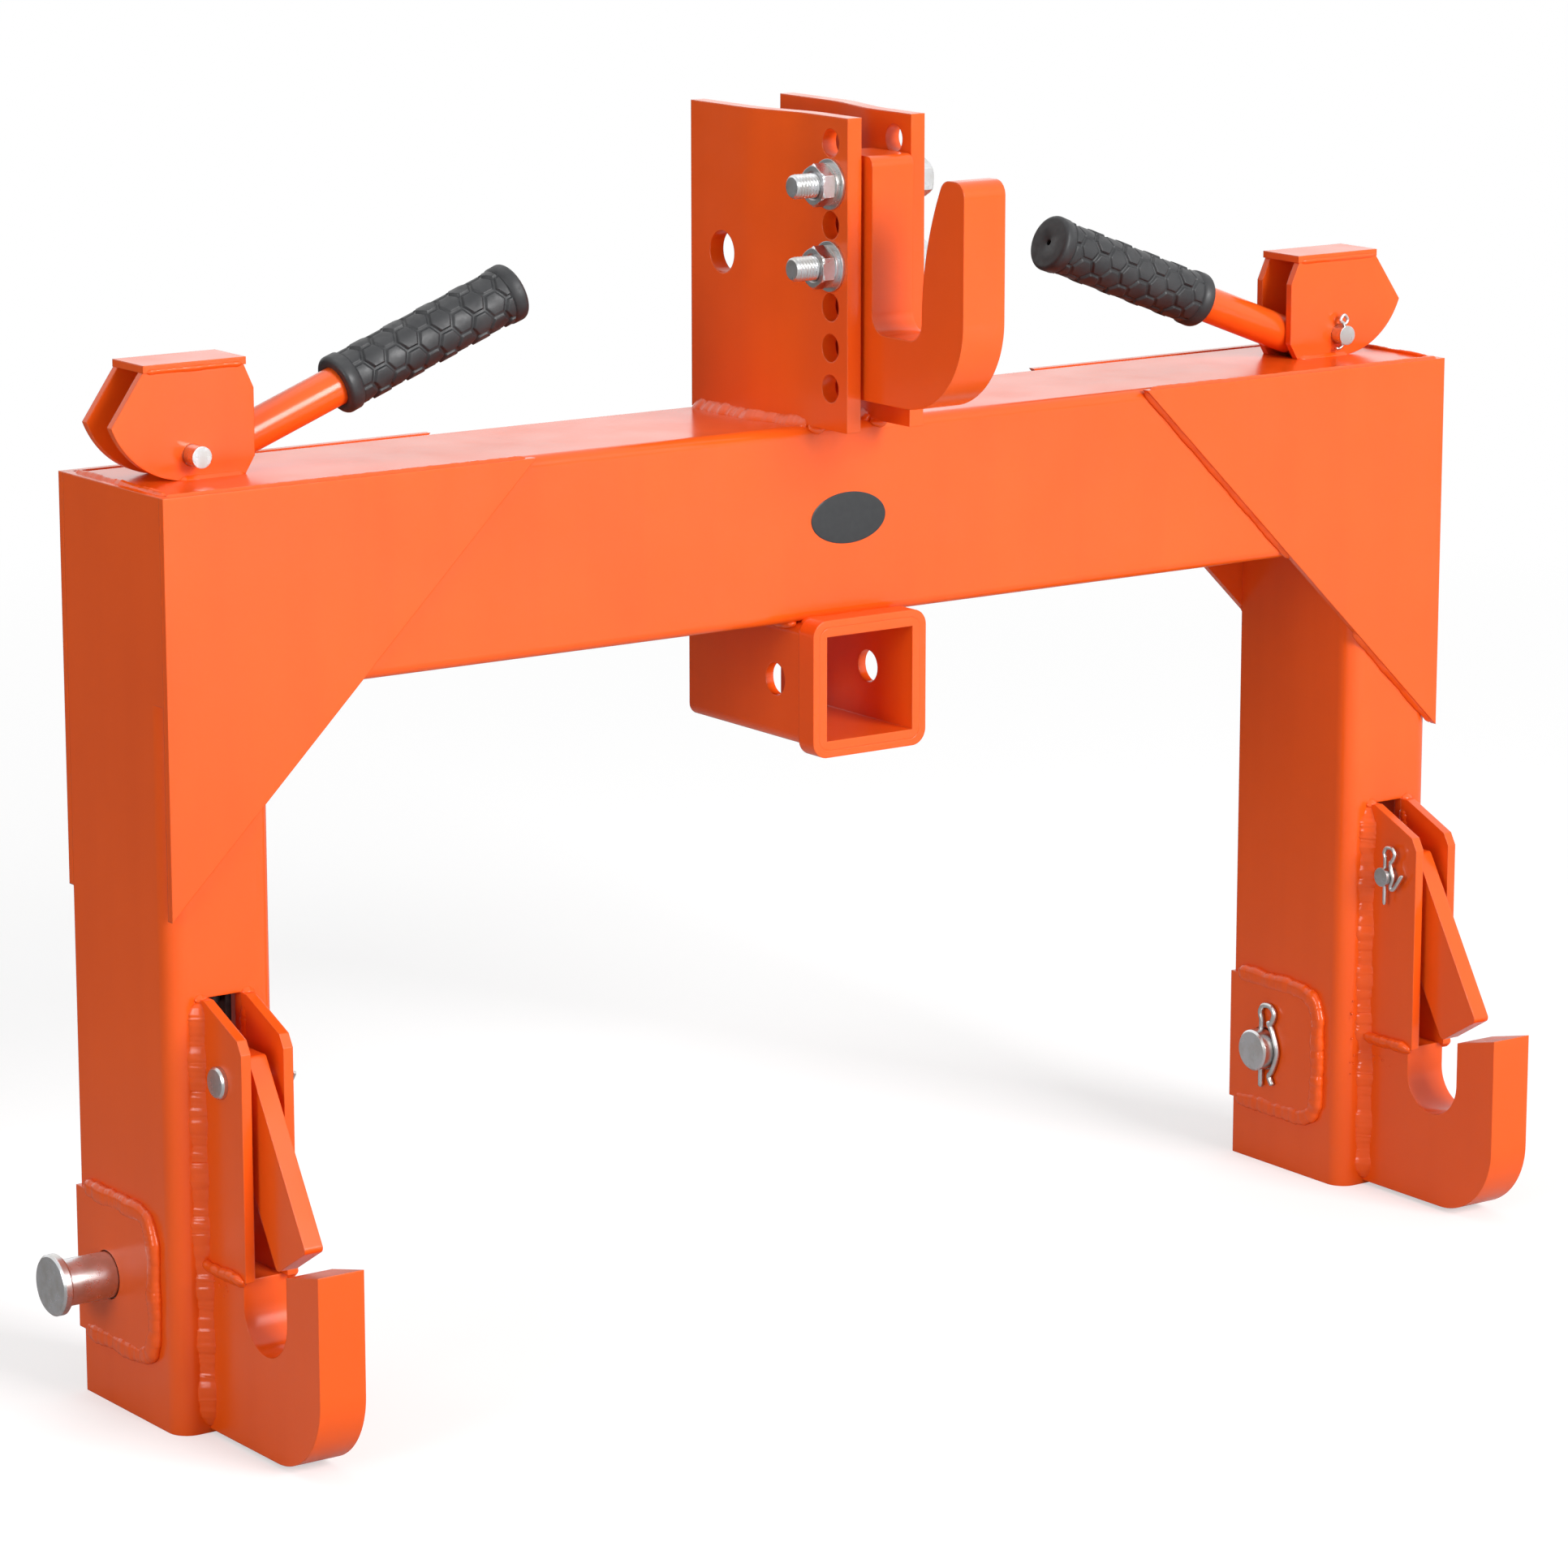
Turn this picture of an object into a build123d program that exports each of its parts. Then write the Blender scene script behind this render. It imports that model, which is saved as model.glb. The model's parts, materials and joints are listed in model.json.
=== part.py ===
"""Three point quick hitch: an inverted U frame with two lower hooks, a top hook and a receiver.

The frame's front carries the hooks and looks along -Y; X runs across the hitch and Z is up.
Pieces are first placed with y = 0 on the front face of the legs and z = 0 under the legs, and
are then moved along Y so that the origin lies under the middle of the whole part. The right
hand pieces are modelled and mirrored to the left.
"""
from build123d import *
import os

# Frame
hook_spacing = 700.0
leg_width = 56.0
leg_wall = 5.0
leg_bend = 10.0
frame_depth = 88.0
frame_height = 437.0
beam_height = 95.0
beam_wall = 5.0
beam_corner = 5.0
gusset_along_beam = 197.0
gusset_down_leg = 193.0
gusset_thickness = 4.0
cut_overrun = 1.0

# Tractor link pins, their clips and the pads round their holes
link_pin_dia = 22.0
link_pin_clearance = 0.6
link_pin_setback = 28.0
link_pin_z = 64.0
link_pin_pulled_out = 25.0
link_pin_head_dia = 29.0
link_pin_head_length = 5.0
link_pin_head_edge = 1.0
link_pin_stub = 9.0
pad_thickness = 3.0
pad_below_pin = 32.0
pad_above_pin = 37.0
pad_ahead_of_pin = 41.0
pad_corner = 12.0
clip_wire = 3.0
clip_play = 0.3
clip_loop = 7.0
clip_rise = 15.0
clip_tail = 10.0

# Lower hooks
hook_thickness = 24.0
hook_bottom_z = 2.0
hook_heel_z = 81.0
throat_width = 38.0
throat_setback = 33.0
throat_depth = 31.0
hook_reach = 98.6
hook_tip_rear_rise = 11.0
hook_tip_front_rise = 17.6
hook_nose_radius = 38.0

# Latch guards, which stand on the hook's heel beside the slot in the leg
guard_gap = 17.0
guard_thickness = 5.0
guard_height = 125.0
guard_reach = 37.5
guard_shoulder_drop = 12.5
guard_knee_drop = 6.0
guard_knee_step = 3.5
guard_flat = 5.0

# Latch
latch_thickness = 9.5
latch_width = 30.0
latch_head = 12.5
latch_heel_gap = 2.0
latch_swing = 31.0
latch_corner = 2.5
latch_pin_ahead = 18.2
latch_pin_height = 90.0
latch_pin_dia = 10.0
latch_pin_head_dia = 15.0
latch_pin_head_length = 3.0
latch_pin_head_edge = 1.0
latch_pin_stub = 7.0
latch_arm_end = 8.0
pin_running_clearance = 0.06
cotter_wire = 2.2
cotter_margin = 3.0
cotter_loop = 5.0
cotter_rise = 12.0
cotter_tail = 10.0

# Lever, its pivot and its cover
lever_pivot_inset = 10.0
lever_pivot_height = 11.0
lever_plane_y = 49.3
lever_pin_dia = 10.0
lever_pin_stub = 9.0
lever_pin_cotter_stub = 7.0
lever_rise = 20.7
lever_swing = 30.0
lever_drop = 8.5
lever_tube_dia = 18.5
lever_tube_wall = 2.5
lever_tube_start = 21.5
lever_tube_length = 164.5
lever_plug = 3.0
lug_thickness = 6.0
lug_back = 7.7
lug_pivot_radius = 9.5
lug_hook_radius = 7.0
lug_tongue = 14.0
grip_length = 104.0
grip_cover = 100.0
grip_dia = 26.0
grip_collar_dia = 28.5
grip_collar = 8.0
grip_edge = 2.5
grip_vent_dia = 3.0
cover_plate = 4.0
cover_gap = 19.1
cover_inner_reach = 32.5
cover_outer_reach = 41.0
cover_shoulder_reach = 24.5
cover_belly_reach = 27.0
cover_foot_reach = 7.0
cover_height = 50.0
cover_apex_height = 26.5
cover_belly_height = 8.0
cover_corner = 5.0
cover_corner_drop = 11.0
cover_foot_rise = 8.0
cap_thickness = 3.5
cap_overhang = 0.5
cap_setback = 4.0

# Rod between lever and latch
rod_dia = 7.0
rod_crank = 17.0
rod_hole_play = 0.6
rod_bend = 4.5
rod_hook_play = 0.5
rod_gate = 14.0
rod_clearance = 1.5
rod_knee_rise = 3.0
gate_length = 22.0
strap_thickness = 3.0
strap_play = 0.4
strap_width = 12.0
strap_setback = 3.0
strap_above_guard = 24.0
strap_toe = 7.0
strap_below_rivet = 8.6
strap_hole_dia = 7.3
strap_weld = 30.0
rivet_dia = 6.0

# Mast
mast_plate = 8.0
mast_height = 149.0
mast_rear_gap = 45.0
mast_front_gap = 29.0
mast_step_y = 6.0
mast_step = 33.0
mast_bend = 60.0
mast_overhang = 29.6
mast_hole_dia = 13.5
mast_hole_margin = 13.6
mast_hole_height = 20.0
mast_hole_pitch = 19.43
mast_hole_count = 7
top_pin_dia = 20.5
top_pin_setback = 26.0
top_pin_height = 78.0

# Top hook
top_hook_thickness = 24.0
top_hook_above_bolt = 13.8
top_hook_height = 116.0
top_hook_shank = 38.0
top_throat_width = 39.0
top_throat_rise = 32.5
top_throat_corner = 9.5
top_tip_reach = 71.0
top_tip_height = 110.0
top_tip_width = 16.0
top_tip_corner = 7.0
top_tip_waist_height = 75.0
top_tip_waist = 3.5
top_nose_radius = 44.0
top_shank_corner = 5.0

# Bolts that hold the top hook
bolt_dia = 12.0
hole_count_above_bolts = 1
hole_count_between_bolts = 1
bolt_head_across = 18.0
bolt_head_length = 7.5
bolt_tail = 12.0
nut_length = 7.0
flat_washer_dia = 24.0
flat_washer = 1.5
lock_washer_dia = 20.0
lock_washer = 2.0
washer_bore = 13.0

# Receiver
receiver_side = 60.0
receiver_wall = 4.5
receiver_corner = 6.0
receiver_overhang = 18.0
receiver_tail = 3.7
collar_side = 67.0
collar_length = 12.0
collar_corner = 8.0
receiver_pin_dia = 16.0
receiver_pin_setback = 36.5

# Places worked out from the sizes above
hitch_x = hook_spacing / 2
leg_inner_x = hitch_x - leg_width / 2
leg_outer_x = hitch_x + leg_width / 2
beam_bottom_z = frame_height - beam_height
link_pin_y = frame_depth - link_pin_setback
guard_inner = guard_gap / 2
guard_outer = guard_inner + guard_thickness
guard_top_z = hook_heel_z + guard_height
latch_pin_y = -latch_pin_ahead
latch_pin_z = hook_heel_z + latch_pin_height
lever_pivot_x = hitch_x - lever_pivot_inset
lever_pivot_z = frame_height + lever_pivot_height
gap_front_y = lever_plane_y - cover_gap / 2
gap_back_y = lever_plane_y + cover_gap / 2
lug_back_y = lever_plane_y + lug_back
lug_front_y = lug_back_y - lug_thickness
rod_plane_y = lug_front_y - rod_bend
strap_face_x = hitch_x - latch_thickness / 2 - strap_play
strap_front_y = leg_wall + strap_setback
strap_top_z = guard_top_z + strap_above_guard
rod_foot_y = strap_front_y + strap_width / 2
mast_hole_y = mast_hole_margin - mast_overhang
top_shank_y = mast_hole_y - top_hook_shank / 2
top_hook_front_y = top_shank_y - top_tip_reach
receiver_front_y = -receiver_overhang
receiver_pin_y = receiver_front_y + receiver_pin_setback
receiver_z = beam_bottom_z - receiver_side / 2
frame_middle_y = (frame_depth + gusset_thickness + top_hook_front_y) / 2


def block(x_span, y_span, z_span):
    """A box between two limits along each axis."""
    size = [high - low for low, high in (x_span, y_span, z_span)]
    middle = [(high + low) / 2 for low, high in (x_span, y_span, z_span)]
    return Pos(*middle) * Box(*size)


def across(points, x_span):
    """A closed outline in y and z, carried along X."""
    outline = make_face(Polyline(*points, close=True))
    return extrude(Plane.YZ.offset(x_span[0]) * outline, amount=x_span[1] - x_span[0])


def front_plane(y):
    """A plane at depth y whose own axes are X and Z."""
    return Plane(origin=(0, y, 0), x_dir=(1, 0, 0), z_dir=(0, -1, 0))


def deep(face, y_span):
    """A face drawn in x and z, carried back along Y."""
    return extrude(front_plane(y_span[1]) * face, amount=y_span[1] - y_span[0])


def bar_x(y, z, diameter, x_span):
    """A round bar along X."""
    middle = (x_span[0] + x_span[1]) / 2
    return Pos(middle, y, z) * Rot(0, 90, 0) * Cylinder(diameter / 2, x_span[1] - x_span[0])


def bar_y(x, z, diameter, y_span):
    """A round bar along Y."""
    middle = (y_span[0] + y_span[1]) / 2
    return Pos(x, middle, z) * Rot(90, 0, 0) * Cylinder(diameter / 2, y_span[1] - y_span[0])


def turned(offset, degrees):
    """An offset pair turned anticlockwise."""
    spun = Vector(offset[0], offset[1]).rotate(Axis.Z, degrees)
    return spun.X, spun.Y


def bent_bar(points, radius, diameter):
    """A round bar whose path is straight runs joined by arcs."""
    path = FilletPolyline(*points, radius=radius)
    start = Plane(origin=path @ 0, z_dir=path % 0)
    return sweep(start * Circle(diameter / 2), path=path)


def wire(points, diameter):
    """A thin wire with mitred bends."""
    path = Polyline(*points)
    start = Plane(origin=path @ 0, z_dir=path % 0)
    return sweep(start * Circle(diameter / 2), path=path, transition=Transition.RIGHT)


def crossbeam():
    """The box tube, open inside, with a gate for each rod in its top and bottom walls."""
    half = leg_outer_x - leg_wall
    middle = (frame_depth / 2, (frame_height + beam_bottom_z) / 2)
    outer = RectangleRounded(frame_depth, beam_height, beam_corner)
    inner = Rectangle(frame_depth - beam_wall * 2, beam_height - beam_wall * 2)
    section = Plane.YZ.offset(-half) * Pos(*middle) * (outer - inner)
    tube = extrude(section, amount=half * 2)
    for side in (1, -1):
        top_x, top_y = rod_place(frame_height - beam_wall - rod_travel())
        low_x, low_y = rod_place(beam_bottom_z + (beam_wall - rod_travel()) / 2)
        gate_x = (top_x - gate_length / 2, top_x + gate_length / 2)
        gate_y = (top_y - rod_dia / 2 - rod_clearance, lug_back_y + rod_clearance)
        top_z = (frame_height - beam_wall - cut_overrun, frame_height + cut_overrun)
        top_gate = block(gate_x, gate_y, top_z)
        low_gate = Pos(low_x, low_y, beam_bottom_z) * Cylinder(rod_gate / 2, beam_wall * 3)
        gates = top_gate + low_gate
        tube = tube - (gates if side == 1 else mirror(gates, Plane.YZ))
    return tube


def leg():
    """A channel open at the back, whose outer flange runs on to close the beam's end."""
    outside = [
        (leg_inner_x, frame_depth), (leg_inner_x, 0), (leg_outer_x, 0), (leg_outer_x, frame_depth)]
    outer = make_face(Polyline(*outside, close=True))
    front_corners = outer.vertices().sort_by(Axis.Y)[:2]
    outer = fillet(front_corners, leg_bend)
    hollow_corners = [
        (leg_inner_x + leg_wall, frame_depth + cut_overrun), (leg_inner_x + leg_wall, leg_wall),
        (leg_outer_x - leg_wall, leg_wall), (leg_outer_x - leg_wall, frame_depth + cut_overrun)]
    hollow = make_face(Polyline(*hollow_corners, close=True))
    hollow = fillet(hollow.vertices().sort_by(Axis.Y)[:2], leg_bend - leg_wall)
    channel = extrude(outer - hollow, amount=beam_bottom_z)
    end_plate = block((leg_outer_x - leg_wall, leg_outer_x), (0, frame_depth), (beam_bottom_z, frame_height))
    slot_x = (hitch_x - guard_inner, hitch_x + guard_inner)
    slot = block(slot_x, (-cut_overrun, leg_wall + cut_overrun), (hook_heel_z, guard_top_z))
    return channel + end_plate - slot - link_hole()


def link_hole():
    """The cut that both flanges and both pads share for the link pin."""
    reach = (leg_inner_x - leg_width, leg_outer_x + leg_width)
    return bar_x(link_pin_y, link_pin_z, link_pin_dia + link_pin_clearance * 2, reach)


def gusset(y_span):
    """A triangular plate over the corner of beam and leg."""
    top_x = leg_outer_x - gusset_along_beam
    low_z = frame_height - gusset_down_leg
    corners = [(top_x, frame_height), (leg_outer_x, frame_height), (leg_outer_x, low_z)]
    return deep(make_face(Polyline(*corners, close=True)), y_span)


def pad(x_span):
    """A doubler plate round the link pin's hole, with its two front corners rounded."""
    low_z = link_pin_z - pad_below_pin
    high_z = link_pin_z + pad_above_pin
    front_y = link_pin_y - pad_ahead_of_pin
    corners = [(frame_depth, low_z), (frame_depth, high_z), (front_y, high_z), (front_y, low_z)]
    plate = across(corners, x_span)
    front_edges = plate.edges().filter_by(Axis.X).sort_by(Axis.Y)[:2]
    return fillet(front_edges, pad_corner) - link_hole()


def quarter_bend(radius):
    """How far the middle of a quarter circle lies inside its square corner."""
    return radius * (1 - 0.5 ** 0.5)


def lower_hook():
    """A thick plate with an upright round-bottomed throat and a nose curved up to the tip."""
    seat_radius = throat_width / 2
    rear_y = -throat_setback
    front_y = rear_y - throat_width
    floor_z = hook_heel_z - throat_depth
    seat_z = floor_z + seat_radius
    nose_y = hook_nose_radius - hook_reach
    nose_z = hook_bottom_z + hook_nose_radius
    bend = quarter_bend(hook_nose_radius)
    tip_rear = (front_y, hook_heel_z + hook_tip_rear_rise)
    tip_front = (-hook_reach, hook_heel_z + hook_tip_front_rise)
    outline = [
        Line((0, hook_bottom_z), (0, hook_heel_z)),
        Line((0, hook_heel_z), (rear_y, hook_heel_z)),
        Line((rear_y, hook_heel_z), (rear_y, seat_z)),
        ThreePointArc((rear_y, seat_z), (rear_y - seat_radius, floor_z), (front_y, seat_z)),
        Line((front_y, seat_z), tip_rear),
        Line(tip_rear, tip_front),
        Line(tip_front, (-hook_reach, nose_z)),
        ThreePointArc(
            (-hook_reach, nose_z), (bend - hook_reach, hook_bottom_z + bend), (nose_y, hook_bottom_z)),
        Line((nose_y, hook_bottom_z), (0, hook_bottom_z))]
    start = hitch_x - hook_thickness / 2
    return extrude(Plane.YZ.offset(start) * make_face(outline), amount=hook_thickness)


def latch_guard(x_span):
    """One of the two plates that flank the latch, with the latch pin's hole."""
    shoulder_z = guard_top_z - guard_shoulder_drop
    corners = [
        (0, hook_heel_z), (0, guard_top_z), (-guard_flat, guard_top_z),
        (guard_knee_step - guard_reach, shoulder_z), (-guard_reach, shoulder_z - guard_knee_drop),
        (-guard_reach, hook_heel_z)]
    hole = latch_pin_dia + pin_running_clearance * 2
    return across(corners, x_span) - bar_x(latch_pin_y, latch_pin_z, hole, (leg_inner_x, leg_outer_x))


def rod_travel():
    """How far the rod rises over the lever's swing."""
    return rod_crank * (Vector(1, 0).rotate(Axis.Z, lever_swing / 2).Y) * 2


def latch_arm():
    """The latch arm's length, so that the same rise swings the latch through its own angle."""
    return rod_travel() / 2 / Vector(1, 0).rotate(Axis.Z, latch_swing / 2).Y


def rivet_place():
    """The y and z of the rivet between latch arm and strap, at rest."""
    dy, dz = turned((latch_arm(), 0), -latch_swing / 2)
    return latch_pin_y + dy, latch_pin_z + dz


def rod_hook_place():
    """The x and z of the rod's top hook, at rest."""
    dx, dz = turned((rod_crank, 0), -lever_swing / 2)
    return lever_pivot_x - (rod_crank + dx) / 2, lever_pivot_z + dz


def rod_place(z):
    """The x and y of the slanted rod's axis at a height."""
    foot_x = strap_face_x + rod_dia / 2
    knee_z = strap_top_z + rod_knee_rise
    hook_x, hook_z = rod_hook_place()
    share = (z - knee_z) / (hook_z - knee_z)
    return foot_x + (hook_x - foot_x) * share, rod_foot_y + (rod_plane_y - rod_foot_y) * share


def latch():
    """A leaning bar hung on the latch pin, with a short arm behind it for the strap's rivet.

    It leans by its own swing, so that it hangs upright between the guards when it is open.
    """
    half = latch_width / 2
    length = latch_pin_height - latch_heel_gap
    top_z = latch_pin_z + latch_head

    def along(s, t):
        dy, dz = turned((t, -s), -latch_swing)
        return latch_pin_y + dy, latch_pin_z + dz

    lean = Vector(1, 0).rotate(Axis.Z, latch_swing)
    front_top_y = latch_pin_y - half / lean.X + latch_head * lean.Y / lean.X
    rivet_y, rivet_z = rivet_place()
    corners = [
        (front_top_y, top_z), along(length, -half), along(length, half), along(half, half),
        (rivet_y, rivet_z - latch_arm_end), (rivet_y + latch_arm_end, rivet_z - latch_arm_end / 2),
        (rivet_y + latch_arm_end, rivet_z + latch_arm_end / 2), (rivet_y, top_z)]
    x_span = (hitch_x - latch_thickness / 2, hitch_x + latch_thickness / 2)
    plate = across(corners, x_span)
    plate = fillet(plate.edges().filter_by(Axis.X), latch_corner)
    pivot = latch_pin_dia + pin_running_clearance * 2
    plate -= bar_x(latch_pin_y, latch_pin_z, pivot, (leg_inner_x, leg_outer_x))
    return plate - bar_x(rivet_y, rivet_z, rivet_dia, (leg_inner_x, leg_outer_x))


def latch_pin():
    """A headed pin through both guards, its head on the outer side and a clip hole inside."""
    inner_end = hitch_x - guard_outer - latch_pin_stub
    outer_face = hitch_x + guard_outer
    shank = bar_x(latch_pin_y, latch_pin_z, latch_pin_dia, (inner_end, outer_face))
    head_span = (outer_face, outer_face + latch_pin_head_length)
    head = bar_x(latch_pin_y, latch_pin_z, latch_pin_head_dia, head_span)
    head = chamfer(head.edges().filter_by(GeomType.CIRCLE).sort_by(Axis.X)[-1:], latch_pin_head_edge)
    hole_x = inner_end + cotter_margin
    cross = Pos(hole_x, latch_pin_y, latch_pin_z) * Cylinder(cotter_wire / 2, latch_pin_dia * 2)
    return shank + head - cross


def hairpin(place, pin_dia, thickness, rise, tail, loop):
    """A bent wire clip: a loop above a pin, one leg down through it and one round its front."""
    x, y, z = place
    high = z + pin_dia / 2 + rise
    low = z - pin_dia / 2 - tail
    waist = z + pin_dia / 2 + thickness
    front_y = y - pin_dia / 2 - thickness / 2 - clip_play
    points = [
        (x, y, low), (x, y, high - loop / 2), (x, y - loop / 4, high), (x, y - loop * 3 / 4, high),
        (x, y - loop, high - loop / 2), (x, y - loop / 2, waist), (x, front_y, z + pin_dia / 4),
        (x, front_y, z - pin_dia / 4), (x, y - loop, low)]
    return wire(points, thickness)


def latch_cotter():
    """The latch pin's wire clip, at its inner end."""
    x = hitch_x - guard_outer - latch_pin_stub + cotter_margin
    place = (x, latch_pin_y, latch_pin_z)
    return hairpin(place, latch_pin_dia, cotter_wire, cotter_rise, cotter_tail, cotter_loop)


def latch_strap():
    """The flat strap at the rod's foot: it runs down inside the leg and toes forward to the rivet."""
    rivet_y, rivet_z = rivet_place()
    rear_y = strap_front_y + strap_width
    low_z = rivet_z - strap_below_rivet
    toe_y = rivet_y - strap_toe
    toe_z = rivet_z + strap_toe
    corners = [
        (rear_y, low_z), (rear_y, strap_top_z), (strap_front_y, strap_top_z), (strap_front_y, toe_z),
        (toe_y, toe_z), (toe_y, low_z)]
    strap = across(corners, (strap_face_x - strap_thickness, strap_face_x))
    toe_edges = strap.edges().filter_by(Axis.X).sort_by(Axis.Y)[:2]
    strap = fillet(toe_edges, strap_toe * 2 / 3)
    middle_of_arc_y = (rivet_y + latch_pin_y + latch_arm()) / 2
    return strap - bar_x(middle_of_arc_y, rivet_z, strap_hole_dia, (leg_inner_x, leg_outer_x))


def strap_rivet():
    """The rivet pressed into the latch arm, on whose end the strap turns."""
    rivet_y, rivet_z = rivet_place()
    x_span = (strap_face_x - strap_thickness, hitch_x + latch_thickness / 2)
    return bar_x(rivet_y, rivet_z, rivet_dia, x_span)


def latch_rod():
    """The slanted rod from the strap up through the beam, hooked back through the lever's lug."""
    foot_x = strap_face_x + rod_dia / 2
    hook_x, hook_z = rod_hook_place()
    points = [
        (foot_x, rod_foot_y, strap_top_z - strap_weld), (foot_x, rod_foot_y, strap_top_z + rod_knee_rise),
        (hook_x, rod_plane_y, hook_z), (hook_x, gap_back_y - rod_hook_play, hook_z)]
    return bent_bar(points, rod_bend, rod_dia)


def lever_axis(s):
    """The x and z of the tube's axis at a distance from the foot of its normal through the pivot."""
    dx, dz = turned((s, -lever_drop), lever_rise)
    return lever_pivot_x - dx, lever_pivot_z + dz


def along_lever(radius, s_span):
    """A round solid along the tube's axis."""
    x, z = lever_axis((s_span[0] + s_span[1]) / 2)
    return Pos(x, lever_plane_y, z) * Rot(0, lever_rise - 90, 0) * Cylinder(radius, s_span[1] - s_span[0])


def lever_tube():
    """The handle's tube, closed at its lower end where the lug is welded."""
    end = lever_tube_start + lever_tube_length
    outer = along_lever(lever_tube_dia / 2, (lever_tube_start, end))
    bore = (lever_tube_start + lever_plug, end + cut_overrun)
    return outer - along_lever(lever_tube_dia / 2 - lever_tube_wall, bore)


def lever_lug():
    """The lever's flat end: it turns on the pivot and carries the rod's hook beside it."""
    hook_dx, hook_dz = turned((rod_crank, 0), -lever_swing / 2)
    hook = (lever_pivot_x - hook_dx, lever_pivot_z + hook_dz)
    end_low = turned((lever_tube_start, -lever_drop - lug_tongue / 2), lever_rise)
    end_high = turned((lever_tube_start, -lever_drop + lug_tongue / 2), lever_rise)
    circles = Pos(lever_pivot_x, lever_pivot_z) * Circle(lug_pivot_radius)
    circles += Pos(*hook) * Circle(lug_hook_radius)
    edge = [(lever_pivot_x - dx, lever_pivot_z + dz) for dx, dz in (end_low, end_high)]
    outline = make_hull(circles.edges() + [Line(*edge)])
    holes = Pos(lever_pivot_x, lever_pivot_z) * Circle(lever_pin_dia / 2 + pin_running_clearance)
    holes += Pos(*hook) * Circle(rod_dia / 2 + rod_hole_play)
    return deep(outline - holes, (lug_front_y, lug_back_y))


def lever_grip():
    """The rubber grip, with a collar at each end and a vent in its closed end."""
    tube_end = lever_tube_start + lever_tube_length
    start = tube_end - grip_cover
    end = start + grip_length
    grip = along_lever(grip_dia / 2, (start, end))
    for s_span in ((start, start + grip_collar), (end - grip_collar, end)):
        collar = along_lever(grip_collar_dia / 2, s_span)
        grip += chamfer(collar.edges().filter_by(GeomType.CIRCLE), grip_edge)
    grip -= along_lever(lever_tube_dia / 2, (start - cut_overrun, tube_end))
    return grip - along_lever(grip_vent_dia / 2, (tube_end - cut_overrun, end + cut_overrun))


def lever_pin(plain_front):
    """The lever's pivot pin; its plain end stands out of one plate and a split pin holds the other."""
    front_stub = lever_pin_stub if plain_front else lever_pin_cotter_stub
    back_stub = lever_pin_cotter_stub if plain_front else lever_pin_stub
    y_span = (gap_front_y - cover_plate - front_stub, gap_back_y + cover_plate + back_stub)
    pin = bar_y(lever_pivot_x, lever_pivot_z, lever_pin_dia, y_span)
    cross = Cylinder(cotter_wire / 2, lever_pin_dia * 2)
    return pin - Pos(lever_pivot_x, lever_cotter_y(plain_front), lever_pivot_z) * cross


def lever_cotter_y(plain_front):
    """The depth at which the lever pin's split pin passes."""
    if plain_front:
        return gap_back_y + cover_plate + lever_pin_cotter_stub - cotter_margin
    return gap_front_y - cover_plate - lever_pin_cotter_stub + cotter_margin


def lever_cotter(plain_front):
    """The split pin through the lever pin's end, bent over below and looped above."""
    y = lever_cotter_y(plain_front)
    x = lever_pivot_x
    top = lever_pivot_z + lever_pin_dia / 2 + cotter_wire
    low = lever_pivot_z - lever_pin_dia / 2 - cotter_wire / 2 - clip_play
    points = [(x + cotter_loop, y, top), (x, y, top), (x, y, low), (x - cotter_loop, y, low)]
    return wire(points, cotter_wire)


def lever_cover_face():
    """The cover plate's outline: upright inside, pointed outside, curved under the point."""
    inner_x = lever_pivot_x - cover_inner_reach
    foot_x = inner_x + cover_corner
    top_z = frame_height + cover_height
    inner_low = (inner_x, frame_height + cover_foot_rise)
    inner_high = (inner_x, top_z - cover_corner_drop)
    shoulder = (lever_pivot_x + cover_shoulder_reach, top_z)
    apex = (lever_pivot_x + cover_outer_reach, frame_height + cover_apex_height)
    belly = (lever_pivot_x + cover_belly_reach, frame_height + cover_belly_height)
    foot = (lever_pivot_x + cover_foot_reach, frame_height)
    outline = Polyline(foot, (foot_x, frame_height), inner_low, inner_high, (foot_x, top_z), shoulder, apex)
    return make_face([outline, ThreePointArc(apex, belly, foot)])


def lever_plate(y_span):
    """One side plate of the lever's cover, with the pivot hole."""
    hole = lever_pin_dia + pin_running_clearance * 2
    return deep(lever_cover_face(), y_span) - bar_y(lever_pivot_x, lever_pivot_z, hole, (0, frame_depth))


def lever_cap():
    """The strip welded over the top edges of the two side plates."""
    top_z = frame_height + cover_height
    x_span = (lever_pivot_x - cover_inner_reach + cap_setback, lever_pivot_x + cover_shoulder_reach)
    y_span = (gap_front_y - cover_plate - cap_overhang, gap_back_y + cover_plate + cap_overhang)
    return block(x_span, y_span, (top_z, top_z + cap_thickness))


def link_pin():
    """The tractor link pin, pulled out until its clip meets the inner pad."""
    outer = leg_outer_x + pad_thickness + link_pin_pulled_out
    inner = leg_inner_x - pad_thickness - link_pin_stub
    shank = bar_x(link_pin_y, link_pin_z, link_pin_dia, (inner, outer))
    shank = chamfer(shank.edges().filter_by(GeomType.CIRCLE).sort_by(Axis.X)[:1], link_pin_head_edge)
    head = bar_x(link_pin_y, link_pin_z, link_pin_head_dia, (outer, outer + link_pin_head_length))
    head = chamfer(head.edges().filter_by(GeomType.CIRCLE), link_pin_head_edge)
    cross = Pos(clip_x(), link_pin_y, link_pin_z) * Cylinder(clip_wire / 2, link_pin_dia * 2)
    return shank + head - cross


def clip_x():
    """The x of the link pin's clip, just clear of the inner pad."""
    return leg_inner_x - pad_thickness - clip_play - clip_wire / 2


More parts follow.
